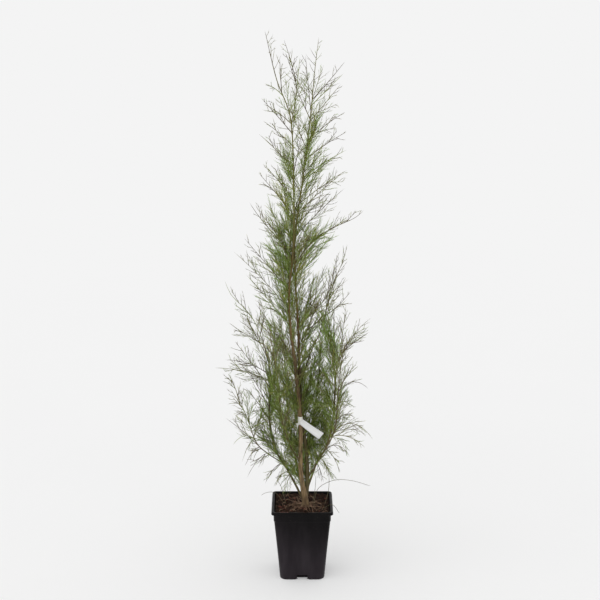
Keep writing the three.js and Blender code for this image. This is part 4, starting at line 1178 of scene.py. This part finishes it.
def branch_off(line, share, phase, angle, luck):
    """Growth that leaves a line at some shares, to either hand by turns and rolled out of its plane: its
    feet, the line's headings there, its own headings, and the line's upper sides."""
    ends = line([0, 1])
    chord = unit(ends[1] - ends[0])
    level = np.cross(chord, UP) if abs(chord[2]) < NEARLY_UPRIGHT else np.array([0.0, -1.0, 0.0])
    ahead = unit(line(share + HEADING_STEP) - line(share - HEADING_STEP))
    side = unit(level - ahead * (ahead @ level)[:, None])
    top = np.cross(side, ahead)
    number = np.arange(len(share))
    hand = np.where(number % 2, 1, -1)
    roll = TWIG_ROLL * np.sin((number - 1) / TWIGS_PER_SOLID_TWIG * GOLDEN_ANGLE + phase)
    roll = roll + luck.normal(0, ROLL_SPREAD, len(share))
    spread = angle + luck.normal(0, ANGLE_SPREAD, len(share))
    away = side * (hand * np.cos(roll))[:, None] + top * np.sin(roll)[:, None]
    course = ahead * np.cos(spread)[:, None] + away * np.sin(spread)[:, None]
    return line(share), ahead, course, top


def forks(line, phase, luck):
    """Weaker shoots that fork off a long one."""
    ends = line([0, 1])
    length = np.linalg.norm(ends[1] - ends[0])
    count = round(length / FORK_SPACING * habit(FULLNESS, "forks", ends[0][2]))
    share = spaced(FORK_SPAN, np.arange(count), max(count, 1))
    foot, ahead, course, _ = branch_off(line, share, phase + 1, FORK_ANGLE, luck)
    size = (FORK_SHARE * length * (1 - share) + FORK_LEAST) * luck.uniform(*FORK_SIZES, count)
    tip, knee = (
        foot + (course * at["out"] + ahead * at["ahead"]) * size[:, None] for at in (FORK_TIP, FORK_KNEE)
    )
    inside = in_crown(tip, "twig")
    return [bent_line(*three) for three in zip(foot[inside], knee[inside], tip[inside])]


def grow_twigs(line, kind, phase, luck):
    """Twigs on a shoot: their feet, courses, bends and sizes, and their upper sides."""
    ends = line([0, 1])
    length = np.linalg.norm(ends[1] - ends[0])
    fullness = kind["twigs"] * habit(FULLNESS, "twigs", ends[0][2])
    count = max(FEWEST_TWIGS, round(length / TWIG_SPACING * fullness))
    share = spaced(TWIG_SPAN, np.arange(count), count)
    angle = kind["angle"] * habit(FULLNESS, "spread", ends[0][2])
    foot, ahead, course, top = branch_off(line, share, phase, angle, luck)
    size = TWIG_SHARE * length * (1 - share) ** TWIG_TAPER + TWIG_LEAST
    size *= luck.uniform(*TWIG_SIZES, count)
    size *= habit(FULLNESS, "size", foot[:, 2])
    rise = np.interp(foot[:, 2], *TWIG_RISE)
    bend = TWIG_BEND["ahead"] * ahead + UP * rise[:, None] - TWIG_BEND["back"] * course
    bend += luck.normal(0, TWIG_BEND["spread"], (count, 3))
    stretch = (course + bend) * size[:, None]
    kept = in_crown(foot + stretch, "twig") & in_view(foot + stretch * TWIG_SEEN_AT, luck)
    return foot[kept], course[kept], bend[kept], size[kept], top[kept]


def spray_tints(heights, kind, luck):
    """Which colour of spray each twig carries. The twigs of a shoot have mostly one."""
    shares = np.array([np.interp(heights, SPRAY_HEIGHTS, shares) for _, _, shares in SPRAYS])
    shares *= np.array(kind["colours"])[:, None]
    shares = np.cumsum(shares / shares.sum(axis=0), axis=0)
    draw = (luck.uniform() + luck.normal(0, TINT_SPREAD, len(heights))) % 1
    return (draw > shares).sum(axis=0)


def grow_branchlets(twigs, kind, luck):
    """Branchlets on twigs, to either hand by turns: their lines, and the twig that each is on."""
    foot, course, bend, size, top = twigs
    full = habit(FULLNESS, "branchlets", foot[:, 2]) * kind["branchlets"]
    counts = np.maximum(1, np.round(size / BRANCHLET_SPACING * full)).astype(int)
    owner = np.repeat(np.arange(len(foot)), counts)
    number = np.arange(len(owner)) - np.repeat(np.cumsum(counts) - counts, counts)
    at = spaced(BRANCHLET_SPAN, number, counts[owner])
    root = curved(foot[owner], course[owner], bend[owner], size[owner], at[:, None, None])[:, 0]
    heading = unit(course[owner] + 2 * bend[owner] * at[:, None])
    flat = unit(np.cross(heading, top[owner]))
    tall = np.cross(flat, heading)
    turn = np.where(np.arange(len(owner)) % 2, 0, np.pi) + luck.normal(0, BRANCHLET_TURN, len(owner))
    lean = kind["lean"] + luck.normal(0, BRANCHLET_LEAN, len(owner))
    out = flat * np.cos(turn)[:, None] + tall * np.sin(turn)[:, None]
    course = heading * np.cos(lean)[:, None] + out * np.sin(lean)[:, None]
    reach = np.clip(np.interp(at, [0, 1], BRANCHLET_SHARE) * size[owner], *BRANCHLET_LENGTH)
    reach *= luck.uniform(*BRANCHLET_SIZES, len(owner))
    curl = (heading / 2 - out) * BRANCHLET_CURL
    tips = root + course * reach[:, None]
    middle = (root + tips) / 2
    kept = in_crown(tips, "branchlet") & in_view(middle, luck) & ~in_gap(tips) & ~in_gap(middle)
    lines = curved(root[kept], course[kept], curl[kept], reach[kept], BRANCHLET_STEPS[None, :, None])
    return lines, owner[kept]


def scale_leaves(branchlets, tint, luck):
    """Small pointed leaves set round each branchlet, each of two triangles."""
    count = len(branchlets)
    number = np.arange(LEAVES_PER_BRANCHLET)
    place = (number + LEAF["set"]) / LEAVES_PER_BRANCHLET
    root, tip = branchlets[:, None, 0], branchlets[:, None, 2]
    foot = root + (tip - root) * place[None, :, None]
    ahead = unit(tip - root)
    side = unit(np.cross(ahead, least_along(ahead[:, 0])))
    other = np.cross(ahead, side)
    turn = luck.uniform(0, FULL_TURN, (count, 1)) + number * GOLDEN_ANGLE
    out = side * np.cos(turn)[..., None] + other * np.sin(turn)[..., None]
    course = ahead * math.cos(LEAF["angle"]) + out * math.sin(LEAF["angle"])
    size = LEAF["length"] * luck.uniform(*LEAF_SIZES, (count, LEAVES_PER_BRANCHLET, 1))
    middle = foot + course * size * LEAF["widest"]
    half = np.cross(ahead, out) * LEAF["width"] / 2
    points = np.stack([foot, middle + half, foot + course * size, middle - half], axis=2)
    return points.reshape(-1, 4, 3), np.array([[0, 1, 2], [0, 2, 3]]), np.repeat(tint, LEAVES_PER_BRANCHLET)


def shoots_on(limb, luck):
    """All the shoots of a limb, as lines by kind: plumes that reach the crown's edge, forks of those,
    brushes between them, and brighter tufts."""
    lines = {"plume": [tip_shoot(limb)], "fork": [], "brush": [], "tuft": []}
    stride = (limb["wood_end"] - limb["bare"]) / shoot_count(limb)
    below = int((limb["bare"] - LOWEST_SHOOT) / stride)
    brushes = "stem brushes" if limb["name"] in STEMS else "bough brushes"
    for step in range(-below * INFILL_STEPS, shoot_count(limb) * INFILL_STEPS):
        index = step // INFILL_STEPS if step % INFILL_STEPS == 0 else step / INFILL_STEPS
        line = side_shoot(limb, index, luck)
        if is_solid(limb, index):
            lines["plume"].append(line)
            continue
        share = limb.get("fill", 1) * habit(FULLNESS, brushes, line(0)[0][2])
        if luck.uniform() < share and not before_label(line(BENDS)).any():
            lines["brush"].append(line)
    lines["plume"] += [leading_shoot(limb, *shoot) for shoot in LEADING_SHOOTS.get(limb["name"], [])]
    for kind, places in (("brush", THICKETS), ("tuft", TUFTS)):
        for low, high, middle, spread, count in places.get(limb["name"], []):
            for height in np.linspace(low, high, count):
                lines[kind].append(leading_shoot(limb, height, luck.normal(middle, spread), 0))
    for phase, line in enumerate(lines["plume"]):
        lines["fork"] += forks(line, phase, luck)
    return lines


def build_foliage(limb):
    """The shoots, branchlets and scale leaves of a limb, in place of its masses."""
    luck = np.random.default_rng(limb["seed"])
    wood, green, branchlets, tints = [], [], [], []
    for shoot, lines in shoots_on(limb, luck).items():
        kind = SHOOT_KINDS[shoot]
        steps = np.linspace(0, 1, kind["steps"])
        thick = np.linspace(*kind["radius"], kind["steps"])[None]
        twig_thick = np.linspace(*TWIG_RADIUS, len(TWIG_STEPS))[None] * kind["girth"]
        spray_thick = np.array(BRANCHLET_RADIUS)[None] * kind["girth"]
        for phase, line in enumerate(lines):
            twigs = grow_twigs(line, kind, phase, luck)
            tint = spray_tints(twigs[0][:, 2], kind, luck)
            sprays, owner = grow_branchlets(twigs, kind, luck)
            woods = luck.choice(len(shoot_woods), 1 + len(tint), p=kind["wood"])
            wood.append((*tubes(line(steps)[None], thick, kind["sides"]), woods[:1]))
            twig_lines = curved(*twigs[:4], TWIG_STEPS[None, :, None])
            wood.append((*tubes(twig_lines, twig_thick, FINEST_SIDES), woods[1:]))
            green.append((*tubes(sprays, spray_thick, FINEST_SIDES), tint[owner]))
            branchlets.append(sprays)
            tints.append(tint[owner])
    name = limb["name"]
    masses = ["foliage_" + name + "_tip"]
    masses += ["foliage_" + name + "_" + str(k + 1) for k in range(limb["masses"])]
    add_many(name + "_shoots", wood, shoot_woods, masses)
    add_many(name + "_branchlets", green, spray_greens)
    leaves = scale_leaves(np.concatenate(branchlets), np.concatenate(tints), luck)
    add_many(name + "_leaves", [leaves], spray_greens, smooth=False)


# Label

def build_label():
    """The label's band round the trunk, its tail, and the point of its end."""
    trunk = grown["trunk"]
    share = share_at(trunk, LABEL["height"], LABEL["samples"])
    middle = Vector(trunk["line"](share)[0])
    inner = float(np.interp(share, *np.array(trunk["radii"]).T)) + LABEL["clear"]
    front = middle.y - inner - LABEL["thickness"] / 2
    low = LABEL["height"] - LABEL_BAND["height"] / 2
    bm = bmesh.new()
    ring = bmesh.ops.create_circle(bm, segments=LABEL_BAND["sides"], radius=inner)["verts"]
    bmesh.ops.translate(bm, vec=(middle.x, middle.y, low), verts=ring)
    edges = list(bm.edges)
    for _ in range(LABEL_BAND["steps"]):
        ring, edges = extruded(bm, edges)
        bmesh.ops.translate(bm, vec=(0, 0, LABEL_BAND["height"] / LABEL_BAND["steps"]), verts=ring)

    def tail(run, beside):
        sag = LABEL_TAIL["sag"] * math.sin(math.pi * min(run / LABEL_TAIL["length"], 1))
        cos, sin = math.cos(LABEL["tilt"]), math.sin(LABEL["tilt"])
        x, z = run * cos - beside * sin, run * sin + beside * cos
        return Vector((middle.x + x, front - sag - LABEL_TAIL["cup"] * beside ** 2, LABEL["height"] + z))

    def point(run, beside):
        narrow = 1 - run / LABEL_POINT["length"]
        x = middle.x - inner - LABEL_POINT["aside"] + beside * narrow
        return Vector((x, middle.y - LABEL_POINT["forward"], low + LABEL_POINT["tuck"] - run))

    for film, size, shape in ((1, LABEL_TAIL, tail), (0, LABEL_POINT, point)):
        x_segments, y_segments = STRIP_SEGMENTS
        made = bmesh.ops.create_grid(bm, x_segments=x_segments, y_segments=y_segments, size=0.5)["verts"]
        for face in {f for v in made for f in v.link_faces}:
            face.material_index = film
        for vert in made:
            share = vert.co.x + 0.5
            width = size["width"] + (size.get("end_width", size["width"]) - size["width"]) * share
            vert.co = shape(share * size["length"], vert.co.y * width)
    bmesh.ops.recalc_face_normals(bm, faces=bm.faces)
    bmesh.ops.solidify(bm, geom=bm.faces, thickness=LABEL["thickness"])
    add_piece("stem_label", mesh_of(bm, "stem_label"), [band_film, shaded_tail_film], ["label"])


# Studio

def build_floor():
    """Seamless white paper: matt near the pot but for a slight glow, painted light that lifts the pot's
    shadow, and as bright as the room further off.
    """
    paper, tree, shader = new_material("studio_paper", {"Roughness": 0.95, "Specular IOR Level": 0.1})
    place = add_node(tree, "TexCoord", out="Object")
    cloud = add_node(tree, "TexNoise", {"Vector": place, "Scale": per_mm(500), "Detail": 2})
    feed(tree, shader, {"Base Color": painted(tree, "#f2f2f2", [(cloud, 0, 1, 1, "#f5f5f5")])})
    away = add_node(tree, "VectorMath", {0: place}, "Value", operation="LENGTH")
    far = add_node(tree, "MapRange", {"Value": away, **PAPER_GLOW}, interpolation_type="SMOOTHSTEP")
    glow = add_node(tree, "Emission", {"Color": ROOM_WHITE})
    both = add_node(tree, "MixShader", {0: far, 1: shader.outputs[0], 2: glow})
    feed(tree, tree.nodes["Material Output"], {"Surface": both})
    bm = bmesh.new()
    bmesh.ops.create_circle(bm, cap_ends=True, segments=PAPER_SIDES, radius=PAPER_RADIUS)
    mesh = mesh_of(bm, "studio_floor")
    mesh.materials.append(paper)
    floor = bpy.data.objects.new("studio_floor", mesh)
    bpy.context.scene.collection.objects.link(floor)


def build_studio():
    """The white room: a little dimmer as a light than as the camera sees it, and the key light."""
    scene = bpy.context.scene
    scene.view_settings.view_transform = "Standard"
    scene.world = bpy.data.worlds.new("white_studio")
    scene.world.use_nodes = True
    tree = scene.world.node_tree
    room = tree.nodes["Background"]
    feed(tree, room, {"Color": ROOM_WHITE, "Strength": ROOM_LIGHT})
    seen = add_node(tree, "Background", {"Color": ROOM_WHITE})
    ray = add_node(tree, "LightPath", out="Is Camera Ray")
    both = add_node(tree, "MixShader", {0: ray, 1: room.outputs[0], 2: seen})
    feed(tree, tree.nodes["World Output"], {"Surface": both})
    key = bpy.data.lights.new("key_panel", "SUN")
    key.angle, key.energy = KEY_LIGHT["spread"], KEY_LIGHT["power"]
    panel = bpy.data.objects.new("key_panel", key)
    panel.rotation_euler = Vector(KEY_LIGHT["heading"]).to_track_quat("-Z", "Y").to_euler()
    scene.collection.objects.link(panel)


def build_camera():
    data = bpy.data.cameras.new("camera")
    data.lens, data.sensor_width, data.clip_end = CAMERA["lens"], CAMERA["sensor"], FARTHEST_SEEN
    camera = bpy.data.objects.new("camera", data)
    camera.location = [c * MM for c in CAMERA["place"]]
    camera.rotation_euler = (math.pi / 2 - CAMERA["pitch"], 0, 0)
    bpy.context.scene.collection.objects.link(camera)
    bpy.context.scene.camera = camera


build_pot()
build_soil()
build_litter()
build_fibres()
build_stalks()
for limb in LIMBS:
    build_wood(limb)
    build_foliage(limb)
build_label()
build_floor()
build_studio()
build_camera()
